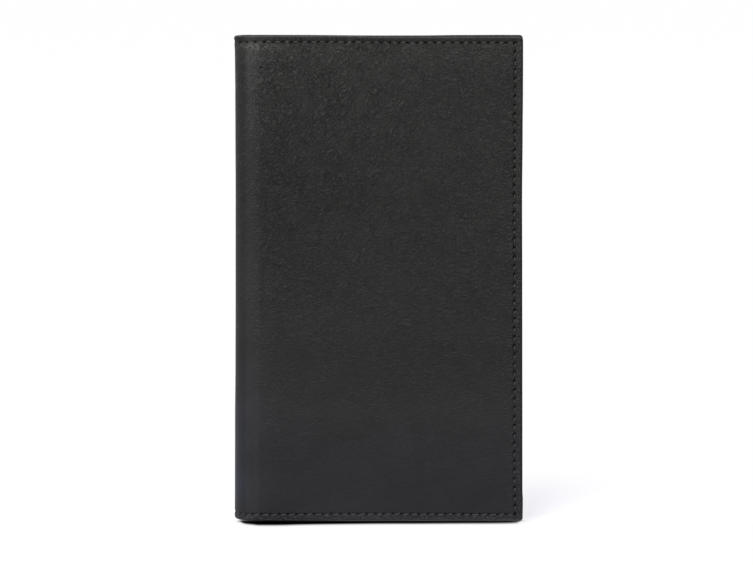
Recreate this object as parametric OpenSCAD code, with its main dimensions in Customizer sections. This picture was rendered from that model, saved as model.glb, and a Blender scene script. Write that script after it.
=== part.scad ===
// Checkbook cover: two stiffened leather covers joined by a soft rounded fold.
// The closed cover stands on its bottom edges. +X points to the fore-edge, +Y to the
// back cover and +Z up along the fold. The origin is the middle of the base.

/* [Closed cover] */
// Width of the closed cover, from the outside of the fold to the fore-edge
cover_w = 101.6; // [95:0.1:115]
// Height of the cover along the fold
cover_h = 171.5; // [160:0.5:190]
// Thickness of the closed cover
closed_t = 12.5; // [12:0.1:16]

/* [Leather and boards] */
// Thickness of the outer leather
leather_t = 1.1; // [0.9:0.1:1.3]
// Thickness of the board in each cover
board_t = 0.5; // [0.4:0.1:0.7]
// Thickness of the pared leather that is turned in over the board
hem_t = 0.4; // [0.3:0.1:0.5]
// Width of the turned-in edge
hem_w = 9; // [6:0.5:14]
// Rounding of the leather where it turns at an edge
edge_round = 0.6; // [0.3:0.1:0.7]
// Distance from the end of the fold's curve to the board
board_setback = 0.6; // [0.3:0.1:2]

/* [Lining and pockets] */
// Thickness of the lining
lining_t = 0.3; // [0.2:0.1:0.5]
// Distance of the lining and the pockets from the edges of the cover
panel_inset = 1; // [0.7:0.1:1.5]
// Room behind a pocket for what it holds
pocket_room = 0.2; // [0.1:0.1:0.4]
// Width of the border by which a pocket is sewn down
pocket_border = 4; // [3.5:0.5:6]
// Thickness of the leather of the check pocket
check_pocket_t = 0.7; // [0.5:0.1:0.9]
// Distance from the fore-edge of the cover to the mouth of the check pocket
check_pocket_w = 73; // [60:1:80]
// Radius of the thumb notch in the mouth of the check pocket
thumb_r = 9; // [6:0.5:12]
// Thickness of the slip pocket sheet behind the card slots
slip_pocket_t = 0.4; // [0.3:0.1:0.6]
// Distance from the end of the fold's curve to the slip pocket and the card slots
slip_setback = 1.5; // [1:0.1:3]

/* [Card slots] */
// Thickness of a card slot strip
slot_t = 0.5; // [0.4:0.1:0.6]
// Thickness of the pared lower edge of a strip, which is tucked under the next one
slot_tail_t = 0.3; // [0.2:0.1:0.4]
// Length of the tucked edge
slot_tail_w = 6; // [4:0.5:9]
// Distance from the top of the cover to the first card slot
slot_drop = 22; // [15:0.5:30]
// Distance from one card slot to the next
slot_step = 13; // [11:0.5:15]

/* [Stitching] */
// Distance from one stitch to the next
stitch_pitch = 3.175; // [2.8:0.025:4]
// Distance from the edge of the cover to the stitching
stitch_margin = 2.4; // [2:0.1:3]
// Diameter of the thread on the outside
thread_d = 0.45; // [0.3:0.05:0.5]
// Diameter of the thread on the inside
inner_thread_d = 0.35; // [0.25:0.05:0.4]
// Gap between two stitches, where the needle hole is
stitch_gap = 0.7; // [0.5:0.05:0.9]
// Distance from a pocket's mouth to its own row of stitches
mouth_margin = 2; // [1.5:0.1:3]

/* [Divider] */
// Thickness of the clear divider sheet
divider_t = 0.3; // [0.2:0.05:0.4]
// Distance from the fore-edge of the cover to the free edge of the divider
divider_setback = 9; // [5:0.5:15]
// Distance from the top and the bottom of the cover to the divider
divider_inset = 5; // [3:0.5:10]
// Radius of the divider's free corners
divider_corner_r = 6; // [3:0.5:12]
// Thickness of the binding that is folded over the divider's inner edge
binding_t = 0.8; // [0.7:0.05:0.9]
// Width of the binding
binding_w = 7; // [6:0.5:9]
// Clearance between the divider's binding and its neighbours
binding_clearance = 0.3; // [0.2:0.05:0.4]

/* [Hidden] */
$fn = 48;

// The fold is half a round tube: four creases along it turn by the same angle.
crease_count = 4;
crease_turn = 180 / crease_count;
fold_r = closed_t / 2;
fold_x = fold_r - cover_w / 2;
fore_x = cover_w / 2;
// Gap between two neighbouring strips of the fold, at its outside
strip_gap = 0.05;
// Gap between curved layers that lie in one another
layer_gap = 0.05;
strip_trim = asin(strip_gap / 2 / fold_r);

// Depths from the outer face of a cover to the outside of each layer
board_y = leather_t;
hem_y = board_y + board_t;
lining_y = hem_y + hem_t;
pocket_y = lining_y + lining_t;
panel_y = pocket_y + pocket_room;
check_pocket_top_y = panel_y + check_pocket_t;
slot_tail_y = panel_y + slip_pocket_t;
slot_y = slot_tail_y + slot_tail_t;
slot_top_y = slot_y + slot_t;

// Number of card slots, each with a module of its own
slot_count = 4;
slip_x = fold_x + slip_setback;
pocket_mouth_x = fore_x - check_pocket_w;
// Gap between the mouth of one card slot and the strip above it
slot_mouth_gap = 0.3;
// Length over which a strip's visible part holds its tucked edge
slot_lap = 2.5;
// Height of the seam that closes the lowest card slot
cards_bottom = 40;

// The outer stitches lie in a groove, just under the surface of the leather
groove_slack = 0.1;
groove_w = thread_d + groove_slack;
groove_d = thread_d + groove_slack;
// The inner stitches lie in a shallow crease and stand a little proud of it
inner_groove_d = 0.2;
// Clearance under the inner thread in its crease
thread_bed = 0.02;
inner_groove_w = inner_thread_d + groove_slack;
inner_thread_y = inner_groove_d - inner_thread_d / 2 - thread_bed;
inner_thread_rise = inner_thread_d / 2 - inner_thread_y;
// Part of a thread's diameter that is left where it enters a needle hole
thread_tip = 0.45;
seam_x = fore_x - stitch_margin;
seam_top = cover_h - stitch_margin;

// The divider hangs nearer to the front cover, which leaves room for the checks
binding_r = binding_t / 2;
divider_y = slot_top_y + inner_thread_rise + binding_clearance + binding_r - fold_r;
fold_inner_r = fold_r - pocket_y;
divider_pivot_r = fold_inner_r - binding_clearance - binding_r;
divider_x = fold_x - sqrt(pow(divider_pivot_r, 2) - pow(divider_y, 2));

leather_c = [0.19, 0.19, 0.195];
lining_c = [0.13, 0.13, 0.14];
pocket_c = [0.17, 0.17, 0.175];
thread_c = [0.26, 0.26, 0.26];
board_c = [0.55, 0.47, 0.36];
fleece_c = [0.75, 0.73, 0.68];
clear_c = [0.85, 0.9, 0.92, 0.5];

function rows_of(length) = max(1, round(length / stitch_pitch));

// Places what is drawn by depth from a cover's outer face, with +Y to the inside
module on_front() {
  translate([0, -fold_r, 0]) children();
}

module on_back() {
  translate([0, fold_r, 0]) mirror([0, 1, 0]) children();
}

// A flat rectangle between two corners
module rect(x0, y0, x1, y1) {
  translate([x0, y0]) square([x1 - x0, y1 - y0]);
}

// The same with round corners
module rounded_rect(x0, y0, x1, y1, r) {
  rect(x0 + r, y0, x1 - r, y1);
  rect(x0, y0 + r, x1, y1 - r);
  for (x = [x0 + r, x1 - r], y = [y0 + r, y1 - r])
    translate([x, y]) circle(r);
}

// A block between two corners
module block(x0, y0, z0, x1, y1, z1) {
  translate([x0, y0, z0]) cube([x1 - x0, y1 - y0, z1 - z0]);
}

// A section drawn in Y and Z, drawn out along X
module along_x(x0, x1) {
  translate([x0, 0, 0]) rotate([90, 0, 90]) linear_extrude(x1 - x0) children();
}

// A section drawn in radius and Z, turned about the middle of the fold between two angles.
// Angle 0 is where the front cover ends and 180 is where the back cover ends.
module round_fold(from, to) {
  translate([fold_x, fold_r, 0]) intersection() {
    rotate([0, 0, 90]) rotate_extrude(angle = 180) children();
    translate([0, 0, -1]) linear_extrude(cover_h + 2) wedge(from, to);
  }
}

// The wedge between two angles about the middle of the fold. From angle 0 it reaches
// past the end of the half round, whose own end then bounds the piece.
module wedge(from, to) {
  start = from == 0 ? -crease_turn / 2 : from;
  reach = 2 * fold_r;
  polygon([[0, 0], for (a = [start, (start + to) / 2, to])
    [-reach * sin(a), -reach * cos(a)]]);
}

// Sections of the fold's layers, in radius and Z
module fold_leather_section() {
  difference() {
    rounded_rect(fold_r - lining_y, 0, fold_r, cover_h, edge_round);
    rect(fold_r - lining_y - 1, hem_w, fold_r - leather_t, cover_h - hem_w);
    for (z = [stitch_margin, seam_top])
      rect(fold_r - groove_d, z - groove_w / 2, fold_r + 1, z + groove_w / 2);
  }
}

module fold_fleece_section() {
  rect(fold_r - lining_y + layer_gap, hem_w + layer_gap,
    fold_r - leather_t - layer_gap, cover_h - hem_w - layer_gap);
}

module fold_lining_section() {
  rect(fold_r - pocket_y, panel_inset, fold_r - lining_y - layer_gap, cover_h - panel_inset);
}

// One stitch along X: a thread that thins towards its needle holes
module stitch(length, d) {
  taper = d;
  rotate([0, 90, 0]) rotate_extrude($fn = 16) polygon([
    [0, -length / 2], [d / 2 * thread_tip, -length / 2], [d / 2, taper - length / 2],
    [d / 2, length / 2 - taper], [d / 2 * thread_tip, length / 2], [0, length / 2]
  ]);
}

// A row of stitches along X from x0 to x1
module row_x(x0, x1, d) {
  count = rows_of(x1 - x0);
  pitch = (x1 - x0) / count;
  for (i = [0 : count - 1])
    translate([x0 + (i + 0.5) * pitch, 0, 0]) stitch(pitch - stitch_gap, d);
}

// A row of stitches along Z from z0 to z1
module row_z(z0, z1, d) {
  translate([0, 0, z0]) rotate([0, -90, 0]) row_x(0, z1 - z0, d);
}

// Stitches along the outside of the fold, between two angles, at the top and the bottom
module fold_row(from, to, count) {
  turn = (to - from) / count;
  length = fold_r * turn * PI / 180 - stitch_gap;
  for (i = [0 : count - 1], z = [stitch_margin, seam_top])
    translate([fold_x, fold_r, z]) rotate([0, 0, 270 - from - (i + 0.5) * turn])
      translate([fold_r - groove_d / 2, 0, 0]) rotate([0, 0, 90]) stitch(length, thread_d);
}

// The flat part of a cover's leather, with round edges and a groove for the stitches
module leather_panel() {
  difference() {
    intersection() {
      along_x(fold_x, fore_x) rounded_rect(0, 0, lining_y, cover_h, edge_round);
      linear_extrude(cover_h)
        rounded_rect(fold_x - cover_w, 0, fore_x, lining_y, edge_round);
    }
    block(fold_x + board_setback, board_y, leather_t,
      fore_x - leather_t, hem_y, cover_h - leather_t);
    block(fold_x - 1, board_y, hem_w, fore_x - hem_w, lining_y + 1, cover_h - hem_w);
    outer_grooves();
  }
}

// Grooves for the outer stitches on the flat part of a cover
module outer_grooves() {
  for (z = [stitch_margin, seam_top])
    block(fold_x - 1, -1, z - groove_w / 2, seam_x + groove_w / 2, groove_d, z + groove_w / 2);
  block(seam_x - groove_w / 2, -1, stitch_margin,
    seam_x + groove_w / 2, groove_d, seam_top);
}

// Creases for the inner stitches, in a panel whose surface is at depth y
module inner_grooves(y) {
  for (z = [stitch_margin, seam_top])
    block(fold_x, y - inner_groove_d, z - inner_groove_w / 2,
      seam_x + inner_groove_w / 2, y + 1, z + inner_groove_w / 2);
  block(seam_x - inner_groove_w / 2, y - inner_groove_d, stitch_margin,
    seam_x + inner_groove_w / 2, y + 1, seam_top);
}

// Outer leather of one cover, with its share of the fold
module cover_leather() {
  color(leather_c) union() {
    leather_panel();
    round_fold(0, crease_turn / 2 - strip_trim) fold_leather_section();
  }
}

// Board that keeps one cover flat
module cover_board() {
  color(board_c)
    block(fold_x + board_setback, board_y, leather_t,
      fore_x - leather_t, hem_y, cover_h - leather_t);
}

// Fleece that levels the step of the turned-in edges
module cover_fleece() {
  color(fleece_c)
    block(fold_x + board_setback, hem_y, hem_w,
      fore_x - hem_w, lining_y, cover_h - hem_w);
}

// Lining of one cover, with its share of the fold
module cover_lining() {
  color(lining_c) union() {
    block(fold_x, lining_y, panel_inset, fore_x - panel_inset, pocket_y, cover_h - panel_inset);
    round_fold(0, crease_turn / 2 - strip_trim) fold_lining_section();
  }
}

// Outer stitches of one cover
module edge_stitching() {
  color(thread_c) {
    for (z = [stitch_margin, seam_top])
      translate([0, groove_d / 2, z]) row_x(fold_x, seam_x, thread_d);
    translate([seam_x, groove_d / 2, 0]) row_z(stitch_margin, seam_top, thread_d);
    fold_row(0, crease_turn / 2, 1);
  }
}

module back_leather() {
  on_back() cover_leather();
}

module front_leather() {
  on_front() cover_leather();
}

module back_board() {
  on_back() cover_board();
}

module front_board() {
  on_front() cover_board();
}

module back_fleece() {
  on_back() cover_fleece();
}

module front_fleece() {
  on_front() cover_fleece();
}

module back_lining() {
  on_back() cover_lining();
}

module front_lining() {
  on_front() cover_lining();
}

module back_edge_stitching() {
  on_back() edge_stitching();
}

module front_edge_stitching() {
  on_front() edge_stitching();
}

// A pocket sheet sewn down by its border on three sides and open towards the fold
module pocket_sheet(x0, top_y) {
  block(x0, panel_y, panel_inset, fore_x - panel_inset, top_y, cover_h - panel_inset);
  difference() {
    block(x0, pocket_y, panel_inset, fore_x - panel_inset, panel_y, cover_h - panel_inset);
    block(x0 - 1, pocket_y - 1, pocket_border,
      fore_x - pocket_border, panel_y + 1, cover_h - pocket_border);
  }
}

// Leather panel that takes the card of the check pad
module check_pocket() {
  on_back() color(pocket_c) difference() {
    pocket_sheet(pocket_mouth_x, check_pocket_top_y);
    translate([pocket_mouth_x, 0, cover_h / 2]) rotate([-90, 0, 0])
      cylinder(r = thumb_r, h = closed_t);
    inner_grooves(check_pocket_top_y);
    for (side = [0, 1])
      mouth_crease(side);
  }
}

// Ends of the two seams along the pocket's mouth, above and below the notch
function mouth_seam(side) = side == 0
  ? [pocket_border + mouth_margin, cover_h / 2 - thumb_r - mouth_margin]
  : [cover_h / 2 + thumb_r + mouth_margin, cover_h - pocket_border - mouth_margin];

module mouth_crease(side) {
  x = pocket_mouth_x + mouth_margin;
  block(x - inner_groove_w / 2, check_pocket_top_y - inner_groove_d, mouth_seam(side)[0],
    x + inner_groove_w / 2, check_pocket_top_y + 1, mouth_seam(side)[1]);
}

module check_pocket_stitching() {
  on_back() color(thread_c)
    for (side = [0, 1])
      translate([pocket_mouth_x + mouth_margin, check_pocket_top_y - inner_thread_y, 0])
        row_z(mouth_seam(side)[0], mouth_seam(side)[1], inner_thread_d);
}

// Inner stitches of the back cover, through the check pocket
module back_inner_stitching() {
  on_back() color(thread_c) translate([0, check_pocket_top_y - inner_thread_y, 0]) {
    for (z = [stitch_margin, seam_top])
      translate([0, 0, z]) row_x(pocket_mouth_x + mouth_margin, seam_x, inner_thread_d);
    translate([seam_x, 0, 0]) row_z(stitch_margin, seam_top, inner_thread_d);
  }
}

// Sheet that carries the card slots, with a pocket of its own behind it
module slip_pocket() {
  on_front() color(pocket_c) difference() {
    pocket_sheet(slip_x, slot_tail_y);
    block(fold_x, slot_tail_y - inner_groove_d, seam_top - inner_groove_w / 2,
      fore_x, slot_tail_y + 1, seam_top + inner_groove_w / 2);
    block(seam_x - inner_groove_w / 2, slot_tail_y - inner_groove_d, slot_mouth(1),
      seam_x + inner_groove_w / 2, slot_tail_y + 1, seam_top);
  }
}

// Height of the mouth of card slot number i, counted from the top
function slot_mouth(i) = cover_h - slot_drop - (i - 1) * slot_step;

// One card slot: a strip whose pared lower edge is tucked under the next strip
module card_slot(i) {
  last = i == slot_count;
  low = last ? panel_inset : slot_mouth(i + 1) + slot_mouth_gap;
  tail = last ? panel_inset : slot_mouth(i + 1) - slot_tail_w;
  on_front() color(pocket_c) difference() {
    along_x(slip_x, fore_x - panel_inset) {
      rect(slot_y, low, slot_top_y, slot_mouth(i));
      rect(slot_tail_y, tail, slot_y, low + slot_lap);
    }
    inner_grooves(slot_top_y);
    card_seam_crease();
  }
}

module card_slot_1() {
  card_slot(1);
}

module card_slot_2() {
  card_slot(2);
}

module card_slot_3() {
  card_slot(3);
}

module card_slot_4() {
  card_slot(4);
}

// Crease for the seam beside the card slots and for the one that closes the lowest slot
module card_seam_crease() {
  x = slip_x + mouth_margin;
  block(x - inner_groove_w / 2, slot_top_y - inner_groove_d, cards_bottom,
    x + inner_groove_w / 2, slot_top_y + 1, cover_h);
  block(x, slot_top_y - inner_groove_d, cards_bottom - inner_groove_w / 2,
    seam_x, slot_top_y + 1, cards_bottom + inner_groove_w / 2);
}

module card_slot_stitching() {
  x = slip_x + mouth_margin;
  on_front() color(thread_c) translate([0, slot_top_y - inner_thread_y, 0]) {
    translate([x, 0, 0]) row_z(cards_bottom, slot_mouth(1), inner_thread_d);
    translate([0, 0, cards_bottom]) row_x(x, seam_x, inner_thread_d);
  }
}

// Inner stitches of the front cover: over the card slots, and over the sheet above them
module front_inner_stitching() {
  on_front() color(thread_c) {
    translate([0, slot_top_y - inner_thread_y, stitch_margin])
      row_x(slip_x, seam_x, inner_thread_d);
    translate([seam_x, slot_top_y - inner_thread_y, 0])
      row_z(stitch_margin, slot_mouth(1), inner_thread_d);
    translate([seam_x, slot_tail_y - inner_thread_y, 0])
      row_z(slot_mouth(1), seam_top, inner_thread_d);
    translate([0, slot_tail_y - inner_thread_y, seam_top])
      row_x(slip_x, seam_x, inner_thread_d);
  }
}

// Strips of the fold between two creases: number 0 is next to the front cover
function strip_from(i) = (i + 0.5) * crease_turn;
function strip_to(i) = (i + 1.5) * crease_turn;

module fold_strip(i) {
  on_front() round_fold(strip_from(i) + strip_trim, strip_to(i) - strip_trim) children();
}

module fold_leather(i) {
  color(leather_c) fold_strip(i) fold_leather_section();
}

module fold_fleece(i) {
  color(fleece_c) fold_strip(i) fold_fleece_section();
}

module fold_lining(i) {
  color(lining_c) fold_strip(i) fold_lining_section();
}

module fold_stitching(i) {
  on_front() color(thread_c) fold_row(strip_from(i), strip_to(i), 2);
}

module fold_leather_back() {
  fold_leather(2);
}

module fold_leather_middle() {
  fold_leather(1);
}

module fold_leather_front() {
  fold_leather(0);
}

module fold_fleece_back() {
  fold_fleece(2);
}

module fold_fleece_middle() {
  fold_fleece(1);
}

module fold_fleece_front() {
  fold_fleece(0);
}

module fold_lining_back() {
  fold_lining(2);
}

module fold_lining_middle() {
  fold_lining(1);
}

module fold_lining_front() {
  fold_lining(0);
}

module fold_stitching_back() {
  fold_stitching(2);
}

module fold_stitching_middle() {
  fold_stitching(1);
}

module fold_stitching_front() {
  fold_stitching(0);
}

// Clear sheet that keeps the pen from printing through to the next check
module divider_sheet() {
  color(clear_c) along_y(divider_t) difference() {
    rounded_rect(divider_x - cover_w, divider_inset,
      fore_x - divider_setback, cover_h - divider_inset, divider_corner_r);
    rect(divider_x - 2 * cover_w, 0, divider_x + binding_r, cover_h);
  }
}

// An outline drawn in X and Z, as thick as t about the divider's plane
module along_y(t) {
  translate([0, divider_y + t / 2, 0]) rotate([90, 0, 0]) linear_extrude(t) children();
}

// Binding folded over the divider's inner edge, round where it turns in the fold
module divider_binding() {
  color(pocket_c) difference() {
    union() {
      block(divider_x, divider_y - binding_r, divider_inset,
        divider_x + binding_w, divider_y + binding_r, cover_h - divider_inset);
      translate([divider_x, divider_y, divider_inset])
        cylinder(r = binding_r, h = cover_h - 2 * divider_inset);
    }
    block(divider_x + binding_r, divider_y - divider_t / 2, 0,
      divider_x + cover_w, divider_y + divider_t / 2, cover_h);
  }
}

// Seam of the binding, on the side of the checks
module divider_stitching() {
  color(thread_c)
    translate([divider_x + binding_w - mouth_margin, divider_y + binding_r + inner_thread_d / 2, 0])
      row_z(divider_inset + mouth_margin, cover_h - divider_inset - mouth_margin, inner_thread_d);
}

back_leather();
back_board();
back_fleece();
back_lining();
check_pocket();
back_edge_stitching();
back_inner_stitching();
check_pocket_stitching();
front_leather();
front_board();
front_fleece();
front_lining();
slip_pocket();
card_slot_1();
card_slot_2();
card_slot_3();
card_slot_4();
front_edge_stitching();
front_inner_stitching();
card_slot_stitching();
fold_leather_back();
fold_leather_middle();
fold_leather_front();
fold_fleece_back();
fold_fleece_middle();
fold_fleece_front();
fold_lining_back();
fold_lining_middle();
fold_lining_front();
fold_stitching_back();
fold_stitching_middle();
fold_stitching_front();
divider_sheet();
divider_binding();
divider_stitching();
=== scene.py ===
import math

import bmesh
import bpy
import numpy as np
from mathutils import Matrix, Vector


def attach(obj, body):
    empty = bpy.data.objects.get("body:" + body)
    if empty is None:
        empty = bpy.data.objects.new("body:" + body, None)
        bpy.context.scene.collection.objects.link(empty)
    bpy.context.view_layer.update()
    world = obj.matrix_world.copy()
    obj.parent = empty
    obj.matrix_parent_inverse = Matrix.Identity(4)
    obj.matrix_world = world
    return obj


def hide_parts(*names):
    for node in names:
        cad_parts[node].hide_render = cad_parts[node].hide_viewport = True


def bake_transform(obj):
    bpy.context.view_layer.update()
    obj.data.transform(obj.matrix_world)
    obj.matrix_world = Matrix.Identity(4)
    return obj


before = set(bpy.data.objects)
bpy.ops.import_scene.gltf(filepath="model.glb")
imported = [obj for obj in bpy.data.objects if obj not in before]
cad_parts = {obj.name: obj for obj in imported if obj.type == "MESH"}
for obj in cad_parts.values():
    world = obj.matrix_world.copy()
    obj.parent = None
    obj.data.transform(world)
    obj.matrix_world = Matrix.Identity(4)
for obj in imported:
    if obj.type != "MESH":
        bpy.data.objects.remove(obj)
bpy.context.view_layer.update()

# Sizes and places are in millimetres, as in the part's source, and colours are linear.
MM = 0.001

COVER_W, COVER_H, CLOSED_T = 101.6, 171.5, 12.5
FOLD_R = CLOSED_T / 2
FORE_X = COVER_W / 2
FOLD_X = FOLD_R - FORE_X
FLAT = FORE_X - FOLD_X
ARC = math.pi * FOLD_R
GIRTH = 2 * FLAT + ARC
MIDDLE_Z = COVER_H / 2

# Depths from a cover's outer face to its layers
LEATHER_T, BOARD_T, HEM_T, LINING_T = 1.1, 0.5, 0.4, 0.3
HEM_Y = LEATHER_T + BOARD_T
LINING_Y = HEM_Y + HEM_T
POCKET_Y = LINING_Y + LINING_T
POCKET_ROOM = 0.2
CHECK_POCKET_T, SLIP_POCKET_T = 0.7, 0.4
SLOT_TAIL_Y = POCKET_Y + POCKET_ROOM + SLIP_POCKET_T
SLOT_TAIL_T, SLOT_T = 0.3, 0.5
SLOT_TOP_Y = SLOT_TAIL_Y + SLOT_TAIL_T + SLOT_T

HEM_W = 9.0
PANEL_INSET = 1.0
PANEL_X, PANEL_TOP = FORE_X - PANEL_INSET, COVER_H - PANEL_INSET
POCKET_BORDER = 4.0
CHECK_MOUTH_X = FORE_X - 73.0
THUMB_R = 9.0
SLIP_X = FOLD_X + 1.5
SLOT_MOUTHS = [149.5, 136.5, 123.5, 110.5]
SLOT_TAIL_W = 6.0
# How far above the next mouth a strip reaches its full thickness, and how far below its own
# mouth the lowest strip starts to climb
SLOT_RAMP, LOWEST_CLIMB = 6.0, 13.0
CARDS_BOTTOM = 40.0
DIVIDER_X, DIVIDER_Y = -47.332, -1.68
DIVIDER_FREE_X = FORE_X - 9.0
DIVIDER_INSET, DIVIDER_CORNER_R = 5.0, 6.0
DIVIDER_T, BINDING_T, BINDING_W = 0.3, 0.8, 7.0
# How far the folded edge of the binding keeps from the lining of the fold
BINDING_SHY = 0.3

# Stitching: the top row lies nearer to the edge than the others
TOP_MARGIN, BOTTOM_MARGIN, FORE_MARGIN = 1.94, 2.64, 2.82
INNER_MARGIN, MOUTH_MARGIN = 2.4, 2.0
STITCH_PITCH = 3.14
THREAD_D, INNER_THREAD_D = 0.41, 0.35
FLAT_STITCHES, FOLD_STITCHES, FORE_STITCHES, TOP_STITCHES = 30, 8, 53, 65

# How far the sides stand in from the full width, at heights above the table
SIDE_HEIGHTS = [0, 8, 12, 33, 58, 86, 115, 139, 153, 164, 172]
FOLD_SIDE_IN = [0.09, 0.05, 0.07, 0.11, 0.34, 0.44, 0.51, 0.41, 0.36, 0.27, 0.07]
FORE_SIDE_IN = [0.31, 0.23, 0.38, 0.41, 0.46, 0.52, 0.61, 0.44, 0.35, 0.31, 0.34]
# How far the bottom edge stays above the table, along the front cover from its fore-edge
LIFT_PLACES = [0, 10, 26, 50, 78, 90]
LIFT = [1.30, 1.20, 1.30, 1.48, 1.22, 1.20]
# and by the angle round the fold in degrees
FOLD_LIFT_TURNS = [0, 17, 39, 60, 90, 130, 180]
FOLD_LIFT = [1.20, 1.30, 1.35, 1.50, 1.75, 0.9, 0.0]
# How far the top edge of the back cover rises, from the fold to its fore-edge
BACK_RISE_PLACES = [0.0, 0.17, 0.47, 0.62, 0.77, 0.92, 1.0]
BACK_RISE = [0.27, 0.24, 0.05, 0.07, 0.21, 0.26, 0.22]
# and that of the front cover at its fore-edge, and beside the fold
FRONT_RISE, FOLD_RISE = 0.55, 0.83
LIFT_REACH, TOP_REACH = 25.0, 30.0
CORNER_R = 1.1

CAMERA_ELEVATION = math.radians(6.5)
CAMERA_DISTANCE = 5.0
PIXELS_PER_MM = 2.8505
IMAGE_W = 753
AIM = Vector((-0.877, -FOLD_R, 85.63)) * MM
# The background looks white, but lights the object only this much
SKY_STRENGTH = 0.22


def new_object(name, data):
    obj = bpy.data.objects.new(name, data)
    bpy.context.scene.collection.objects.link(obj)
    return obj


def aim_at(obj, target):
    obj.rotation_euler = (Vector(target) - obj.location).to_track_quat("-Z", "Y").to_euler()


def make_camera():
    data = bpy.data.cameras.new("camera")
    data.sensor_width = 36.0
    data.lens = PIXELS_PER_MM / MM * CAMERA_DISTANCE * data.sensor_width / IMAGE_W
    data.clip_end = 50.0
    camera = new_object("camera", data)
    back = Vector((0, -math.cos(CAMERA_ELEVATION), math.sin(CAMERA_ELEVATION)))
    camera.location = AIM + back * CAMERA_DISTANCE
    aim_at(camera, AIM)
    bpy.context.scene.camera = camera


def softbox(name, azimuth, elevation, distance, size, power, colour):
    """A soft lamp round the object: azimuth 0 is in front, and 90 at its right."""
    data = bpy.data.lights.new(name, "AREA")
    data.shape = "RECTANGLE"
    data.size, data.size_y = size
    data.energy = power
    data.color = colour
    lamp = new_object(name, data)
    a, e = math.radians(azimuth), math.radians(elevation)
    out = Vector((math.sin(a) * math.cos(e), -math.cos(a) * math.cos(e), math.sin(e)))
    middle = Vector((0, 0, MIDDLE_Z)) * MM
    lamp.location = middle + out * distance
    aim_at(lamp, middle)


# ---------------------------------------------------------------- node helpers

class Value:
    """A node's output. Sums, differences, products and quotients of values make nodes."""

    def __init__(self, socket):
        self.socket, self.tree = socket, socket.id_data

    def __add__(self, other):
        return math_node("ADD", self, other)

    def __sub__(self, other):
        return math_node("SUBTRACT", self, other)

    def __rsub__(self, other):
        return math_node("SUBTRACT", other, self)

    def __mul__(self, other):
        return math_node("MULTIPLY", self, other)

    def __truediv__(self, other):
        return math_node("DIVIDE", self, other)

    def __rtruediv__(self, other):
        return math_node("DIVIDE", other, self)

    __radd__, __rmul__ = __add__, __mul__


class Made:
    """A node, whose outputs are taken as values by name or number."""

    def __init__(self, node):
        self.node = node

    def __getitem__(self, key):
        return Value(self.node.outputs[key])


def connect(value, socket):
    """Links a value to a socket, or sets the socket to a plain number, colour or name."""
    if isinstance(value, Value):
        socket.id_data.links.new(value.socket, socket)
    else:
        socket.default_value = value


def give(node, **values):
    """Connects values to a node's inputs by name, with _ for a space."""
    for key, value in values.items():
        connect(value, node.inputs[key.replace("_", " ")])


def add(tree, kind, inputs=None, **settings):
    """Adds a node, sets its properties, and connects its inputs by name or number."""
    node = tree.nodes.new(kind)
    for key, value in settings.items():
        setattr(node, key, value)
    for key, value in (inputs or {}).items():
        connect(value, node.inputs[key])
    return Made(node)


def tree_of(given):
    """The node tree of the first value among some inputs."""
    return next(value.tree for value in given if isinstance(value, Value))


def math_node(operation, *given):
    return add(tree_of(given), "ShaderNodeMath", dict(enumerate(given)), operation=operation)[0]


def vector_node(operation, a, b):
    return add(a.tree, "ShaderNodeVectorMath", {0: a, 1: b}, operation=operation)[0]


def larger(a, b):
    return math_node("MAXIMUM", a, b)


def split(vector):
    parts = add(vector.tree, "ShaderNodeSeparateXYZ", {0: vector})
    return [parts[k] for k in range(3)]


def span(value, low, high, to_low=0.0, to_high=1.0, kind="SMOOTHSTEP"):
    """Maps a value between low and high to another range."""
    return add(value.tree, "ShaderNodeMapRange",
               {"Value": value, "From Min": low, "From Max": high, "To Min": to_low,
                "To Max": to_high}, interpolation_type=kind)[0]


def between(value, low, high, fade_in, fade_out):
    return span(value, low, low + fade_in) * span(value, high, high + fade_out, 1.0, 0.0)


def blend(share, a, b):
    return a + share * (b - a)


def follow(value, points):
    """A smooth curve through points."""
    low, high = points[0][0], points[-1][0]
    reach = max(abs(result) for _, result in points)
    curve = add(value.tree, "ShaderNodeFloatCurve",
                {"Value": span(value, low, high, kind="LINEAR")})
    line = curve.node.mapping.curves[0]
    line.points[0].location = (0, 0.5 + points[0][1] / reach / 2)
    line.points[1].location = (1, 0.5 + points[-1][1] / reach / 2)
    for at, result in points[1:-1]:
        line.points.new((at - low) / (high - low), 0.5 + result / reach / 2)
    curve.node.mapping.update()
    return span(curve[0], 0.0, 1.0, -reach, reach, "LINEAR")


def noise(vector, scale, detail=3.0, roughness=0.5, distortion=0.0, output="Fac"):
    return add(vector.tree, "ShaderNodeTexNoise",
               {"Vector": vector, "Scale": scale, "Detail": detail, "Roughness": roughness,
                "Distortion": distortion})[output]


def mix(factor, a, b, kind="MIX"):
    a, b = [value if isinstance(value, Value) else (*value, 1.0) for value in (a, b)]
    return add(tree_of((factor, a, b)), "ShaderNodeMix", {0: factor, 6: a, 7: b},
               data_type="RGBA", blend_type=kind)[2]


def group(name, inputs, outputs, kind="ShaderNodeTree"):
    """A node group whose sockets are given by their type, or by a number's default. Returns
    its inputs, and the node that takes its outputs."""
    tree = bpy.data.node_groups.new(name, kind)
    for in_out, sockets in (("INPUT", inputs), ("OUTPUT", outputs)):
        for socket, what in sockets.items():
            of_type = {float: "Float", int: "Int"}.get(type(what), what)
            made = tree.interface.new_socket(socket, in_out=in_out,
                                             socket_type="NodeSocket" + of_type)
            if what != of_type:
                made.default_value = what
    return Made(tree.nodes.new("NodeGroupInput")), tree.nodes.new("NodeGroupOutput")


def use(made, **inputs):
    return add(tree_of(inputs.values()), "ShaderNodeGroup", inputs, node_tree=made)


# ---------------------------------------------------------------- shader groups

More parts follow.
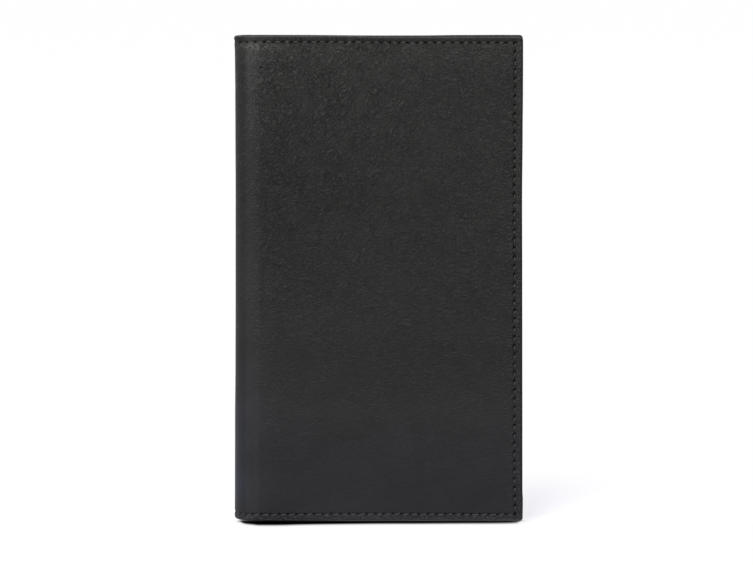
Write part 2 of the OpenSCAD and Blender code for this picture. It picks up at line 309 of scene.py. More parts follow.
def make_grain():
    """Pebbled leather: rounded cells between fine creases, drawn-out wrinkles, and pores."""
    given, end = group("leather_grain",
                       {"Vector": "Vector", "Cells": 900.0, "Wrinkles": 0.5, "Pores": 0.3},
                       {"Height": "Float", "Crease": "Float"})
    vector, cells = given["Vector"], given["Cells"]
    warped = vector
    for share, reach in ((0.16, 2.2), (0.6, 0.8)):
        drift = noise(warped, cells * share, 1.0, output="Color")
        shift = vector_node("SUBTRACT", drift, (0.5, 0.5, 0.5))
        warped = vector_node("ADD", warped, vector_node("MULTIPLY", shift, reach / cells))
    large, little = [span(add(end.id_data, "ShaderNodeTexVoronoi",
                              {"Vector": warped, "Scale": cells * share},
                              feature="DISTANCE_TO_EDGE")["Distance"], 0.0, 0.34) * weight
                     for share, weight in ((1.0, 0.5), (1.9, 0.16))]
    drawn = vector_node("MULTIPLY", warped, (0.55, 1.05, 1.0))
    wrinkle = math_node("ABSOLUTE", noise(drawn, cells * 0.8, 2.0, 0.5, 0.8) - 0.5)
    pores = noise(vector, cells * 5.0, 2.0, 0.6)
    give(end, Crease=span(large, 0.0, 0.2, 1.0, 0.0),
         Height=large + little + span(wrinkle, 0.0, 0.16) * given["Wrinkles"]
         + pores * given["Pores"])
    return end.id_data


def make_patches():
    """Soft uneven patches, as handling and dye leave them."""
    given, end = group("patches", {"Vector": "Vector", "Scale": 20.0}, {"Patches": "Float"})
    give(end, Patches=span(noise(given["Vector"], given["Scale"], 4.0, 0.6, 0.6), 0.3, 0.7))
    return end.id_data


def make_weave():
    """Plain cloth: threads along and across, each over and under its neighbours."""
    given, end = group("weave", {"Vector": "Vector", "Threads": 3000.0},
                       {"Height": "Float", "Across": "Float"})
    scaled = vector_node("MULTIPLY", given["Vector"], given["Threads"])
    warp, weft = [math_node("SINE", part * math.pi) for part in split(scaled)[:2]]
    over = span(warp * weft, -0.25, 0.25)
    give(end, Across=over,
         Height=blend(over, math_node("ABSOLUTE", warp), math_node("ABSOLUTE", weft)))
    return end.id_data


def make_fibres():
    """Short tangled fibres, as in felt and board."""
    given, end = group("fibres", {"Vector": "Vector", "Scale": 400.0},
                       {"Height": "Float", "Tone": "Float"})
    fine = noise(given["Vector"], given["Scale"], 5.0, 0.7, 1.5)
    coarse = noise(given["Vector"], given["Scale"] * 0.2, 3.0, 0.5, 0.8)
    give(end, Height=fine, Tone=coarse * 0.6 + fine * 0.4)
    return end.id_data


GRAIN, PATCHES, WEAVE, FIBRES = make_grain(), make_patches(), make_weave(), make_fibres()


# ---------------------------------------------------------------- materials

# Distance round the cover of the line about which its shade tilts
TILT_LINE = 52.0


def new_material(name, **plain):
    """A material and its Principled shader, whose even values are set on its own sockets."""
    material = bpy.data.materials.new(name)
    material.use_nodes = True
    shader = material.node_tree.nodes["Principled BSDF"]
    give(shader, **plain)
    return material, shader


def on_map(shader, name="Surface"):
    """A map of the piece. Surface has the distance round the cover and the height, in metres."""
    return add(shader.id_data, "ShaderNodeUVMap", uv_map=name)["UV"]


def bump(shader, height, strength, distance):
    give(shader, Normal=add(shader.id_data, "ShaderNodeBump",
                            {"Height": height, "Strength": strength,
                             "Distance": distance * MM})["Normal"])


def leather_material(name, dark, light, cells, depth, rough):
    """Dyed leather with a fine even grain."""
    material, shader = new_material(name, Specular_IOR_Level=0.2)
    where = on_map(shader)
    grain = use(GRAIN, Vector=where, Cells=cells, Wrinkles=0.3, Pores=0.22)
    patches = use(PATCHES, Vector=where, Scale=30.0)["Patches"]
    give(shader, Base_Color=mix(patches * 0.35 + grain["Height"] * 0.55, dark, light),
         Roughness=grain["Crease"] * 0.12 + rough)
    bump(shader, grain["Height"], 1.0, depth)
    return material


def outer_leather_material():
    """The cover's leather: crisp grain at the top, rubbed smooth lower down, with painted light and
    shade: a painted highlight over the fold, and painted shade in the needle holes."""
    material, shader = new_material("outer_leather", Specular_IOR_Level=0.16)
    where = on_map(shader)
    along, up = [part / MM for part in split(where)[:2]]
    fore, top = math_node("MINIMUM", along, GIRTH - along), COVER_H - up
    from_fold = math_node("ABSOLUTE", along - GIRTH / 2)
    from_line = math_node("ABSOLUTE", from_fold - (ARC / 2 - 0.3))
    round_fold = span(from_fold, ARC / 2 - 4.5, ARC / 2 - 0.5, 1.0, 0.0)

    # The grain lies across the cover near the fore-edge and low down, and aslant elsewhere
    slanting = add(shader.id_data, "ShaderNodeVectorRotate", {"Vector": where, "Angle": 0.8},
                   rotation_type="Z_AXIS")[0]
    coarse = use(GRAIN, Vector=slanting, Cells=920.0, Wrinkles=1.6, Pores=0.08)
    fine = use(GRAIN, Vector=where, Cells=960.0, Wrinkles=1.3, Pores=0.12)
    wide, small = [use(PATCHES, Vector=where, Scale=scale)["Patches"] for scale in (26.0, 110.0)]
    aslant = (small * 0.4 + span(up, 60, 150, 0.15, 0.6)) * span(along, 12, 65, 0.35, 1.1)
    aslant = math_node("MINIMUM", aslant, 1.0)
    height, crease = [blend(aslant, fine[k], coarse[k]) for k in ("Height", "Crease")]
    crisp = follow(up, [(0, 0.100), (30, 0.240), (55, 0.440), (75, 0.700), (95, 0.880),
                        (120, 1.070), (150, 1.150), (172, 1.190)])
    crisp = crisp * (small * 0.5 + 0.7) * span(from_fold, ARC / 2 - 1, ARC / 2 + 2, 0.45, 1.0)
    height = height * crisp
    # The colour follows the grain's height as well as its patches: painted shade in the grain's low
    # places
    colour = mix(wide * 0.30 + small * 0.16 + height * 0.42,
                 (0.0115, 0.0115, 0.0115), (0.0232, 0.0232, 0.0230))

    def streaks(scale, stretch, distortion):
        drawn = vector_node("MULTIPLY", where, stretch)
        return span(noise(drawn, scale, 2.0, 0.5, distortion), 0.32, 0.68)

    # Crumples in the sewn margins, and puckers where the top row goes over to the fold: bumps, and
    # painted light and shade in the colour
    margins = larger(between(up, 0.3, BOTTOM_MARGIN - 0.6, 0.3, 0.5),
                     between(fore, 0.5, FORE_MARGIN - 0.7, 0.3, 0.5) * 0.9)
    crumples = streaks(850.0, (1.0, 1.5, 1.0), 1.0)
    puckered = between(top, TOP_MARGIN + 0.2, TOP_MARGIN + 1.8, 0.3, 1.6) \
        * span(from_line, 2.2, 20.0, 1.0, 0.0, "LINEAR") * streaks(760.0, (1.0, 1.2, 1.0), 0.8)

    # Painted light and shade: how light the leather is painted at each height, lightest at the top,
    # and how that tilts about a line near the middle of the cover: paler towards the fold at the
    # top and bottom, darker there between
    shade = follow(up, [(0, 0.908), (12, 0.900), (19, 0.880), (26, 0.862), (33, 0.888),
                        (40, 0.938), (47, 0.822), (55, 0.752), (62, 0.722), (68, 0.836),
                        (76, 0.806), (90, 0.808), (97, 0.804), (110, 0.804), (118, 0.832),
                        (131, 0.910), (145, 1.052), (153, 1.092), (160, 1.182), (166, 1.430),
                        (172, 1.465)])
    tilt = follow(up, [(0, -0.8), (30, -0.9), (60, -0.5), (80, 0.0), (100, 1.5), (116, 2.5),
                       (130, 1.8), (142, -0.9), (153, -1.8), (172, -1.8)])
    aside = TILT_LINE - math_node("MINIMUM", along, FLAT)
    # Painted shade in the grain's creases, deeper where the grain is crisp
    shade = shade * (tilt * aside * 0.001 + 1.0) * (1.0 - crease * crisp * 0.4)
    # Painted light and shade on the fold by height, and a painted highlight on its outer side low
    # down
    fold_shade = follow(up, [(0, 0.0), (50, 0.0), (72, 0.110), (110, 0.095), (140, -0.155),
                             (158, -0.305), (172, -0.280)])
    low_side = span(from_fold, 2.5, 7.0, 1.0, 0.0) * span(up, 10, 75, 1.0, 0.0)
    shade = shade * (round_fold * fold_shade + low_side * 0.44 + 1.0)
    # Painted light and shade of the crumples, which also lightens the sewn margins
    shade = shade * (margins * (crumples * 1.5 + 0.05) + 1.0)
    grey = add(shader.id_data, "ShaderNodeCombineColor", {k: shade for k in range(3)})[0]
    colour = mix(1.0, colour, grey, "MULTIPLY")

    # Painted light in tints: a cool cast towards the bottom, a painted highlight over the fold and
    # beside it, a bluish painted highlight on the fold low down, and painted highlights on the
    # puckers
    cool = span(up, 0, 110, 1.0, 0.0, "LINEAR")
    fold_highlight = span(from_line, 1.0, 3.6, 1.0, 0.0) * span(up, 110, 160, 0.80, 1.0)
    beside = between(from_fold, ARC / 2 + 0.6, ARC / 2 + 4, 1.6, 6.0)
    low_fold = round_fold * span(up, 3, 12) * span(up, 0, 75, 1.0, 0.0)
    for part, tint in ((cool, (0.955, 0.955, 1.16)), (fold_highlight, (1.62, 1.65, 1.66)),
                       (beside, (1.17, 1.17, 1.17)), (low_fold, (1.30, 1.40, 1.72)),
                       (puckered, (2.3, 2.3, 2.2))):
        colour = mix(part, colour, tint, "MULTIPLY")
    # The Marks map: painted shade in the holes, seam grooves and rims, and painted light along the
    # bottom edge
    holes, painted_edge_light, _ = split(on_map(shader, "Marks"))
    colour = mix(painted_edge_light, colour, (0.055, 0.055, 0.055))
    colour = mix(holes, colour, (0.001, 0.001, 0.001))
    # Painted shade: a needle hole is painted black, and without a coat of its own
    give(shader, Base_Color=colour, Metallic=span(holes, 0.5, 0.9),
         Roughness=wide * 0.06 + crease * 0.10 + holes * 0.4 + 0.46)

    past_fore = between(fore, FORE_MARGIN + 0.2, FORE_MARGIN + 0.9, 0.3, 4.5) \
        * span(up, 30, 110, 0.25, 1.0)
    past_top = between(top, TOP_MARGIN + 0.2, TOP_MARGIN + 0.8, 0.3, 2.4)
    height = height * span(top, 0.2, 1.4, 0.25, 1.0) + crumples * margins * 1.5 + puckered * 0.9
    height = height + streaks(700.0, (0.22, 1.0, 1.0), 0.4) * past_fore * 0.75 \
        + streaks(650.0, (1.0, 0.3, 1.0), 0.5) * past_top * 0.55
    bump(shader, height, 1.0, 0.33)
    return material


def thread_material():
    material, shader = new_material("thread", Specular_IOR_Level=0.3, Sheen_Weight=0.1)
    where = on_map(shader)
    along, around, _ = split(where)
    twist = math_node("SINE", along * (10 * math.pi) + around * (4 * math.pi))
    ply, fuzz = span(twist, -1.0, 0.6), noise(where, 60.0, 4.0, 0.7)
    give(shader, Roughness=fuzz * 0.2 + 0.45,
         Base_Color=mix(fuzz * 0.35 + ply * 0.55 + 0.1, (0.016, 0.016, 0.016),
                        (0.068, 0.068, 0.067)))
    bump(shader, ply, 0.8, 0.06)
    return material


def lining_material():
    material, shader = new_material("lining", Specular_IOR_Level=0.3, Sheen_Weight=0.15)
    where = on_map(shader)
    weave = use(WEAVE, Vector=where, Threads=2600.0)
    patches = use(PATCHES, Vector=where, Scale=60.0)["Patches"]
    give(shader, Roughness=weave["Across"] * 0.12 + 0.5,
         Base_Color=mix(weave["Height"] * 0.6 + patches * 0.25 + 0.1, (0.007, 0.007, 0.008),
                        (0.030, 0.030, 0.033)))
    bump(shader, weave["Height"], 0.7, 0.08)
    return material


def fibre_material(name, dark, light, scale, depth, rough):
    material, shader = new_material(name, Specular_IOR_Level=0.3)
    fibres = use(FIBRES, Vector=on_map(shader), Scale=scale)
    give(shader, Base_Color=mix(fibres["Tone"], dark, light),
         Roughness=fibres["Height"] * 0.1 + rough)
    bump(shader, fibres["Height"], 0.6, depth)
    return material


def vinyl_material():
    """Clear sheet, a little hazy, with fine scuffs."""
    material, shader = new_material("clear_vinyl", Specular_IOR_Level=0.5)
    where = on_map(shader)
    haze = use(PATCHES, Vector=where, Scale=35.0)["Patches"]
    drawn = vector_node("MULTIPLY", where, (1.0, 0.07, 1.0))
    scuffs = span(noise(drawn, 1500.0, 2.0, 0.5, 0.3), 0.66, 0.80)
    give(shader, Base_Color=mix(haze, (0.60, 0.66, 0.69), (0.72, 0.77, 0.79)),
         Alpha=haze * 0.05 + scuffs * 0.05 + 0.16, Roughness=scuffs * 0.2 + 0.14)
    bump(shader, noise(where, 25.0, 2.0), 0.2, 1.0)
    return material


MATERIALS = {
    "outer_leather": outer_leather_material(),
    "pocket_leather": leather_material("pocket_leather", (0.011, 0.011, 0.0112),
                                       (0.024, 0.024, 0.0243), 1050.0, 0.24, 0.44),
    "binding_leather": leather_material("binding_leather", (0.010, 0.010, 0.0102),
                                        (0.021, 0.021, 0.0213), 1200.0, 0.15, 0.42),
    "thread": thread_material(),
    "lining": lining_material(),
    "board": fibre_material("board", (0.16, 0.12, 0.075), (0.34, 0.27, 0.18), 700.0, 0.05, 0.75),
    "fleece": fibre_material("fleece", (0.42, 0.40, 0.35), (0.72, 0.69, 0.62), 900.0, 0.2, 0.85),
    "clear_vinyl": vinyl_material(),
}


# ---------------------------------------------------------------- places on the cover

def smooth(t):
    t = np.clip(t, 0.0, 1.0)
    return t * t * (3 - 2 * t)


def ease(value, stops, results):
    """Like np.interp, but easing in and out at each stop."""
    number = np.interp(value, stops, np.arange(len(stops)))
    whole = np.minimum(np.floor(number).astype(int), len(stops) - 2)
    t = smooth(number - whole)
    results = np.asarray(results, float)
    return results[whole] * (1 - t) + results[whole + 1] * t


LATTICES = [np.random.RandomState(seed).rand(256, 256) for seed in range(24)]


def ripple(a, b, seed):
    """Smooth noise from -1 to 1 with a period of about one unit."""
    table = LATTICES[seed % len(LATTICES)]
    ia, ib = np.floor(a).astype(int), np.floor(b).astype(int)
    fa, fb = smooth(a - ia), smooth(b - ib)
    low, high = [table[ia % 256, j % 256] * (1 - fa) + table[(ia + 1) % 256, j % 256] * fa
                 for j in (ib, ib + 1)]
    return 2 * (low * (1 - fb) + high * fb) - 1


def waves(a, b, seed, octaves=3):
    return sum(0.5 ** i * ripple(a * 2 ** i, b * 2 ** i, seed + i) for i in range(octaves)) / 1.75


def round_corner(a, b):
    """How far points shift from two edges so that the corner between them is rounded."""
    u, v = np.clip(1 - a / CORNER_R, 0, 1), np.clip(1 - b / CORNER_R, 0, 1)
    return (CORNER_R * u * (1 - np.sqrt(1 - v * v / 2)),
            CORNER_R * v * (1 - np.sqrt(1 - u * u / 2)))


def near_bottom(z):
    return np.clip(1 - z / LIFT_REACH, 0, 1) ** 2


def near_top(z):
    return np.clip(1 - (COVER_H - z) / TOP_REACH, 0, 1) ** 2


def place(s, z, depth):
    """The point at a distance s round the cover from the front fore-edge, at a height z, and
    at a depth under the outer face, on the settled cover. In millimetres."""
    s, z, depth = np.broadcast_arrays(*[np.asarray(v, float) for v in (s, z, depth)])
    fore = np.minimum(s, GIRTH - s)
    in_top, down = round_corner(fore, COVER_H - z)
    in_bottom, up = round_corner(fore, z)
    z = z - down + up
    s = s + (in_top + in_bottom) * np.where(s < GIRTH / 2, 1, -1)
    turn = np.clip((s - FLAT) / FOLD_R, 0, math.pi)
    degrees = np.degrees(turn)
    flat = np.maximum(FLAT - s, 0) + np.maximum(s - FLAT - ARC, 0)
    x = FOLD_X + flat - (FOLD_R - depth) * np.sin(turn)
    y = -(FOLD_R - depth) * np.cos(turn)
    pulled = np.where(x < 0, ease(z, SIDE_HEIGHTS, FOLD_SIDE_IN),
                      ease(z, SIDE_HEIGHTS, FORE_SIDE_IN))
    x = x * (1 - pulled / FORE_X)
    lift = np.where(s < FLAT, np.interp(s, LIFT_PLACES, LIFT),
                    np.interp(degrees, FOLD_LIFT_TURNS, FOLD_LIFT))
    front_rise = FRONT_RISE + (FOLD_RISE - FRONT_RISE) * smooth((s - 50) / 12)
    fold_rise = FOLD_RISE + (BACK_RISE[0] - FOLD_RISE) * degrees / 180 - 0.06 * np.sin(turn)
    back_rise = ease(np.clip((s - FLAT - ARC) / FLAT, 0, 1), BACK_RISE_PLACES, BACK_RISE)
    rise = np.where(s < FLAT, front_rise, np.where(s < FLAT + ARC, fold_rise, back_rise))
    return np.stack([x, y, z + lift * near_bottom(z) + rise * near_top(z)], -1)


# ---------------------------------------------------------------- mesh helpers

def corner_vertices(mesh):
    """The vertex of each face corner."""
    index = np.zeros(len(mesh.loops), int)
    mesh.loops.foreach_get("vertex_index", index)
    return index


def make_mesh(name, points, faces, uv, slot, smooth_faces=None):
    """A piece from points in millimetres, with a Surface map in metres by vertex."""
    mesh = bpy.data.meshes.new(name)
    mesh.from_pydata((np.asarray(points) * MM).tolist(), [], faces)
    mesh.validate(clean_customdata=False)
    uv = (np.asarray(uv) * MM)[corner_vertices(mesh)]
    mesh.uv_layers.new(name="Surface").data.foreach_set("uv", uv.astype(np.float32).ravel())
    smooth_faces = np.ones(len(mesh.polygons), bool) if smooth_faces is None else smooth_faces
    mesh.polygons.foreach_set("use_smooth", smooth_faces)
    mesh.materials.append(MATERIALS[slot])
    return new_object(name, mesh)


def grid_faces(columns, rows, first=0, flip=False):
    """Quads of a grid whose vertices run row by row within each column."""
    i, j = np.meshgrid(np.arange(columns - 1), np.arange(rows - 1), indexing="ij")
    a = first + i * rows + j
    quads = np.stack([a, a + rows, a + rows + 1, a + 1], -1).reshape(-1, 4)
    return (quads[:, ::-1] if flip else quads).tolist()


def grid_border(columns, rows):
    """Indices round the edge of such a grid."""
    index = np.arange(columns * rows).reshape(columns, rows)
    return [int(k) for k in np.concatenate([index[:, 0], index[-1, 1:], index[-2::-1, -1],
                                            index[0, -2:0:-1]])]


def lines(*stops):
    """Values from stop to stop: each stop is a value, and the step towards the next one."""
    values = [stops[0][0]]
    for (start, step), (end, _) in zip(stops, stops[1:]):
        count = max(1, round(abs(end - start) / step))
        values += list(np.linspace(start, end, count + 1)[1:])
    return np.array(values)


def edge_lines(low, high, step, radius=0.3):
    """Lines with three close to each edge, for a rounded edge."""
    close = np.array([0, 0.15, 0.5, 1]) * radius
    inner = lines((low + radius, step), (high - radius, 1))[1:-1]
    return np.concatenate([low + close, inner, high - close[::-1]])


def face_outwards(obj):
    """Turns the whole closed mesh if its volume comes out negative."""
    mesh = obj.data
    mesh.calc_loop_triangles()
    co = np.zeros(len(mesh.vertices) * 3)
    mesh.vertices.foreach_get("co", co)
    corners = np.zeros(len(mesh.loop_triangles) * 3, int)
    mesh.loop_triangles.foreach_get("vertices", corners)
    a, b, c = co.reshape(-1, 3)[corners.reshape(-1, 3).T]
    if (a * np.cross(b, c)).sum() < 0:
        mesh.flip_normals()


def close_and_orient(obj):
    """Fills the open loops of a mesh with flat faces, and turns all faces outwards."""
    bm = bmesh.new()
    bm.from_mesh(obj.data)
    before = set(bm.faces)
    open_edges = [edge for edge in bm.edges if edge.is_boundary]
    if open_edges:
        bmesh.ops.holes_fill(bm, edges=open_edges, sides=0)
    for face in set(bm.faces) - before:
        face.smooth = False
    bmesh.ops.recalc_face_normals(bm, faces=bm.faces)
    bm.to_mesh(obj.data)
    bm.free()
    face_outwards(obj)


def soft_sheet(name, s, z, outer, inner, slot, to_point=place):
    """A closed sheet over a grid of s and z, from an outer to an inner depth."""
    columns, rows = s.shape
    points = np.concatenate([to_point(s, z, depth).reshape(-1, 3) for depth in (outer, inner)])
    uv = np.tile(np.stack([s, z], -1).reshape(-1, 2), (2, 1))
    shift = columns * rows
    faces = grid_faces(columns, rows, 0, True) + grid_faces(columns, rows, shift)
    border = grid_border(columns, rows)
    faces += [[a, b, b + shift, a + shift] for a, b in zip(border, border[1:] + border[:1])]
    obj = make_mesh(name, points, faces, uv, slot)
    face_outwards(obj)
    obj.data.set_sharp_from_angle(angle=math.radians(50))
    return obj


def edge_drop(distance, radius):
    """How far a rounded edge falls back at a distance from it."""
    inside = np.clip(distance, 0, radius)
    return radius - np.sqrt(np.maximum(radius ** 2 - (radius - inside) ** 2, 0))


# ---------------------------------------------------------------- bodies and nodes

SIDES = ("front", "back")
STRIP_NAMES = ["by_front", "front", "back", "by_back"]
STRIP_EDGES = [FLAT + ARC * k / 4 for k in range(5)]


def bend_strip(obj):
    """Bakes a strip's placement into its mesh."""
    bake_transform(obj)


def dress(obj, slot, body, *nodes):
    """Attaches a piece to its body and hides the solids that it replaces; its slot is not used."""
    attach(obj, body)
    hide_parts(*nodes)


def dress_strip(obj, number, kind):
    """Hides the solid or two of its kind that a strip of the fold lies over, and bakes the strip's
    placement.
    """
    parts = ["front", "middle", "back"][max(0, number - 1):number + 1]
    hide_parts(*[f"{kind}_{part}" for part in parts])
    bend_strip(obj)


# ---------------------------------------------------------------- rows of needle holes

def even_places(low, high, count):
    """Heights that come out evenly spaced once the cover is lifted."""
    z = np.linspace(0, COVER_H, 2000)
    lifted = lambda z: z + LIFT[0] * near_bottom(z) + FRONT_RISE * near_top(z)
    return np.interp(np.linspace(lifted(low), lifted(high), count + 1), lifted(z), z)


def jittered(places, seed, jitter=0.07):
    wobble = np.random.RandomState(seed).uniform(-jitter, jitter, len(places))
    wobble[[0, -1]] = 0
    return places + wobble


FLAT_ROW = np.linspace(FORE_MARGIN, FLAT, FLAT_STITCHES + 1)
FOLD_ROW = FLAT + np.arange(1, FOLD_STITCHES) * ARC / FOLD_STITCHES
BOTTOM_HOLES = np.concatenate([jittered(FLAT_ROW, 3), FOLD_ROW,
                               GIRTH - jittered(FLAT_ROW, 4)[::-1]])
TOP_PITCH = (GIRTH - 2 * FORE_MARGIN) / TOP_STITCHES
TOP_HOLES = jittered(FORE_MARGIN + TOP_PITCH * np.arange(TOP_STITCHES + 1), 7, 0.06)
FORE_PLACES = even_places(BOTTOM_MARGIN, COVER_H - TOP_MARGIN, FORE_STITCHES)
FORE_HOLES = {"front": jittered(FORE_PLACES, 11), "back": jittered(FORE_PLACES, 13)}
# Half the length and half the width of a needle hole
LOW_HOLE, TOP_HOLE, FORE_HOLE = (0.31, 0.23), (0.50, 0.25), (0.40, 0.34)


def near_row(along, across, holes, side, wavy):
    """Relief beside a seam at a distance across its row: the groove, its needle holes, the
    leather that swells on both sides and the crumples towards the edge. side is the
    direction across in which the edge lies."""
    number = np.interp(along, holes, np.arange(len(holes)))
    beat = 0.5 + 0.5 * np.cos(2 * math.pi * number)
    out = across * side
    groove = -(0.14 + 0.12 * beat) * np.exp(-(across / 0.42) ** 2)
    swell = (0.07 + 0.6 * wavy) * (1 - beat) * np.exp(-((out - 1.05) / 0.45) ** 2)
    inside = 0.07 * (0.4 + 0.6 * beat) * np.exp(-((out + 1.4) / 0.8) ** 2)
    drift = ripple(along / 4, out * 0.8, 5)
    slant = np.sin(2 * math.pi * (number + 0.45 * out + 0.35 * drift))
    crumple = wavy * slant * (0.6 + 0.4 * drift) * np.exp(-((out - 1.05) / 0.75) ** 2)
    return groove + swell + inside + crumple


def hole_shape(along, across, holes, wide, high):
    """1 in the middle of each needle hole, and 0 away from them."""
    number = np.interp(along, holes, np.arange(len(holes)))
    nearest = holes[np.clip(np.round(number).astype(int), 0, len(holes) - 1)]
    lean = along - nearest + 0.3 * across
    return np.exp(-(lean / wide) ** 4 - (across / high) ** 2)


def rows_near(s, z):
    """For each row of stitches: distances along and across it, its holes, the side on which
    its edge lies, how wavy its margin is, 1 where the row runs, and the shape of a hole."""
    top_z, is_front = COVER_H - TOP_MARGIN, s < GIRTH / 2
    in_flat = smooth((np.minimum(s, GIRTH - s) - FORE_MARGIN + 0.8) / 0.8)
    in_fore = smooth((top_z - z + 0.8) / 0.8) * smooth((z - BOTTOM_MARGIN + 0.8) / 0.8)
    return [(s, z - BOTTOM_MARGIN, BOTTOM_HOLES, -1, 0.12, in_flat, LOW_HOLE),
            (s, z - top_z, TOP_HOLES, 1, 0.03, in_flat, TOP_HOLE),
            (z, s - FORE_MARGIN, FORE_HOLES["front"], -1, 0.05, in_fore * is_front, FORE_HOLE),
            (z, s - (GIRTH - FORE_MARGIN), FORE_HOLES["back"], 1, 0.05, in_fore * ~is_front,
             FORE_HOLE)]


def relief(s, z):
    """How far the outer leather stands out from its even surface, in millimetres."""
    fore, top = np.minimum(s, GIRTH - s), COVER_H - z
    rise = 0.10 * waves(s / 42, z / 55, 1) * smooth(fore / 20) * smooth(z / 20) \
        * smooth(top / 20)
    for along, across, holes, side, wavy, mask, shape in rows_near(s, z):
        rise = rise + mask * (near_row(along, across, holes, side, wavy)
                              - 0.55 * hole_shape(along, across, holes, *shape))
    edge = np.minimum(np.minimum(fore, top), z)
    crumple = 1 - np.abs(waves((s + z) / 1.6, (s - z) / 3.4, 9, 2)) * 2
    rise = rise + 0.05 * crumple * smooth(edge / 0.8) * smooth((3.6 - edge) / 1.2)
    # Wrinkles where the top of the fold is pulled
    from_fold = FLAT - fore
    near_fold = np.exp(-((from_fold - 5.5) / 4.5) ** 2) * smooth((z - 118) / 45)
    lines_up = ripple((fore - 0.35 * top) / 1.5, z / 8, 10)
    return rise + 0.09 * near_fold * lines_up * smooth(from_fold / 1.5)


def marks(s, z):
    """Painted shade in the needle holes, the seam grooves and along the top and fore rims, and
    painted light along the bottom edge and margin.
    """
    fore, top = np.minimum(s, GIRTH - s), COVER_H - z
    # Painted shade along the top rim, and along the fore rim
    rim_shade = 0.46 * smooth((TOP_MARGIN - 0.2 - top) / 0.4)
    dark = np.maximum(rim_shade, 0.55 * np.exp(-(fore / 0.4) ** 2))
    for along, across, holes, _, _, mask, shape in rows_near(s, z):
        groove = 0.06 * np.exp(-(across / 0.35) ** 2)
        hole = hole_shape(along, across, holes, *shape)
        dark = np.maximum(dark, mask * np.maximum(hole, groove))
    # Painted light along the bottom edge, and fainter over the bottom margin
    painted_edge_light = 0.9 * np.exp(-(z / 0.8) ** 4) * (0.8 + 0.2 * waves(s / 6, z / 6, 14))
    painted_edge_light = np.maximum(painted_edge_light, 0.12 * smooth((BOTTOM_MARGIN - 0.5 - z) / 0.4))
    return np.clip(np.stack([dark, painted_edge_light], -1), 0, 1)


# ---------------------------------------------------------------- outer leather

RIM_R = 0.5
RIM_UNEVEN = 0.03
# How far in from the rim the grid draws together to make room for it
RIM_REACH = 12.0
# Lines beside a needle hole, at fractions of the pitch
ROW_LINES = [-0.40, -0.22, -0.09, 0.0, 0.09, 0.22, 0.40]
FORE_LINES = [-0.26, -0.09, 0.0, 0.09, 0.26, 0.5]


def rim_rings():
    """Inset from the edge and depth of each ring that the turned edge runs through."""
    over = [(RIM_R * (1 - math.sin(a)), RIM_R * (1 - math.cos(a)))
            for a in np.radians(np.linspace(0, 90, 6)[1:])]
    under = [(RIM_R * (1 - math.cos(a)), LINING_Y - RIM_R * (1 - math.sin(a)))
             for a in np.radians(np.linspace(0, 90, 4))]
    return over + under + [
        (2.2, LINING_Y), (8.6, LINING_Y), (HEM_W, LINING_Y - 0.12), (HEM_W, HEM_Y + 0.02),
        (1.25, HEM_Y + 0.02), (1.12, HEM_Y - 0.1), (1.12, LEATHER_T + 0.02), (1.4, LEATHER_T)]


def lines_by_holes(places, fractions):
    """Lines over a row of stitches, close together beside each needle hole."""
    number = (np.arange(len(places))[:, None] + np.array(fractions)).ravel()
    number = number[(number >= 0) & (number <= len(places) - 1)]
    return np.interp(number, np.arange(len(places)), places)


def leather_lines():
    """The grid of the leather's surface: its lines meet the holes of every row."""
    near = lines((RIM_R, 0.24), (FORE_MARGIN, 1))[:-1]
    fold = FLAT + np.linspace(0, ARC, 49)[1:-1]
    top_row = np.append(FORE_MARGIN + TOP_PITCH * np.arange(FLAT_STITCHES), FLAT)
    ends = []
    for row in (FLAT_ROW, top_row):
        line = np.concatenate([near, lines_by_holes(row, ROW_LINES)])
        ends.append(np.concatenate([line, fold, GIRTH - line[::-1]])[:, None])
    low, high = BOTTOM_MARGIN, COVER_H - TOP_MARGIN
    z = np.concatenate([lines((RIM_R, 0.22), (low, 1)), lines_by_holes(FORE_PLACES, FORE_LINES),
                        lines((high, 0.2), (COVER_H - RIM_R, 1)),
                        low + np.array([0.2, 0.4, 0.6, 0.8]), high - np.array([0.2, 0.4, 0.6])])
    z = np.unique(z.round(4))
    z = z[np.concatenate([[True], np.diff(z) > 0.09])]
    share = smooth(z / COVER_H)
    s = ends[0] * (1 - share) + ends[1] * share
    return s, np.broadcast_to(z, s.shape)


def surface_normals(grid):
    """Normals of a whole grid of points, out of the cover."""
    normal = np.cross(np.gradient(grid, axis=1), np.gradient(grid, axis=0))
    return normal / np.linalg.norm(normal, axis=-1, keepdims=True)


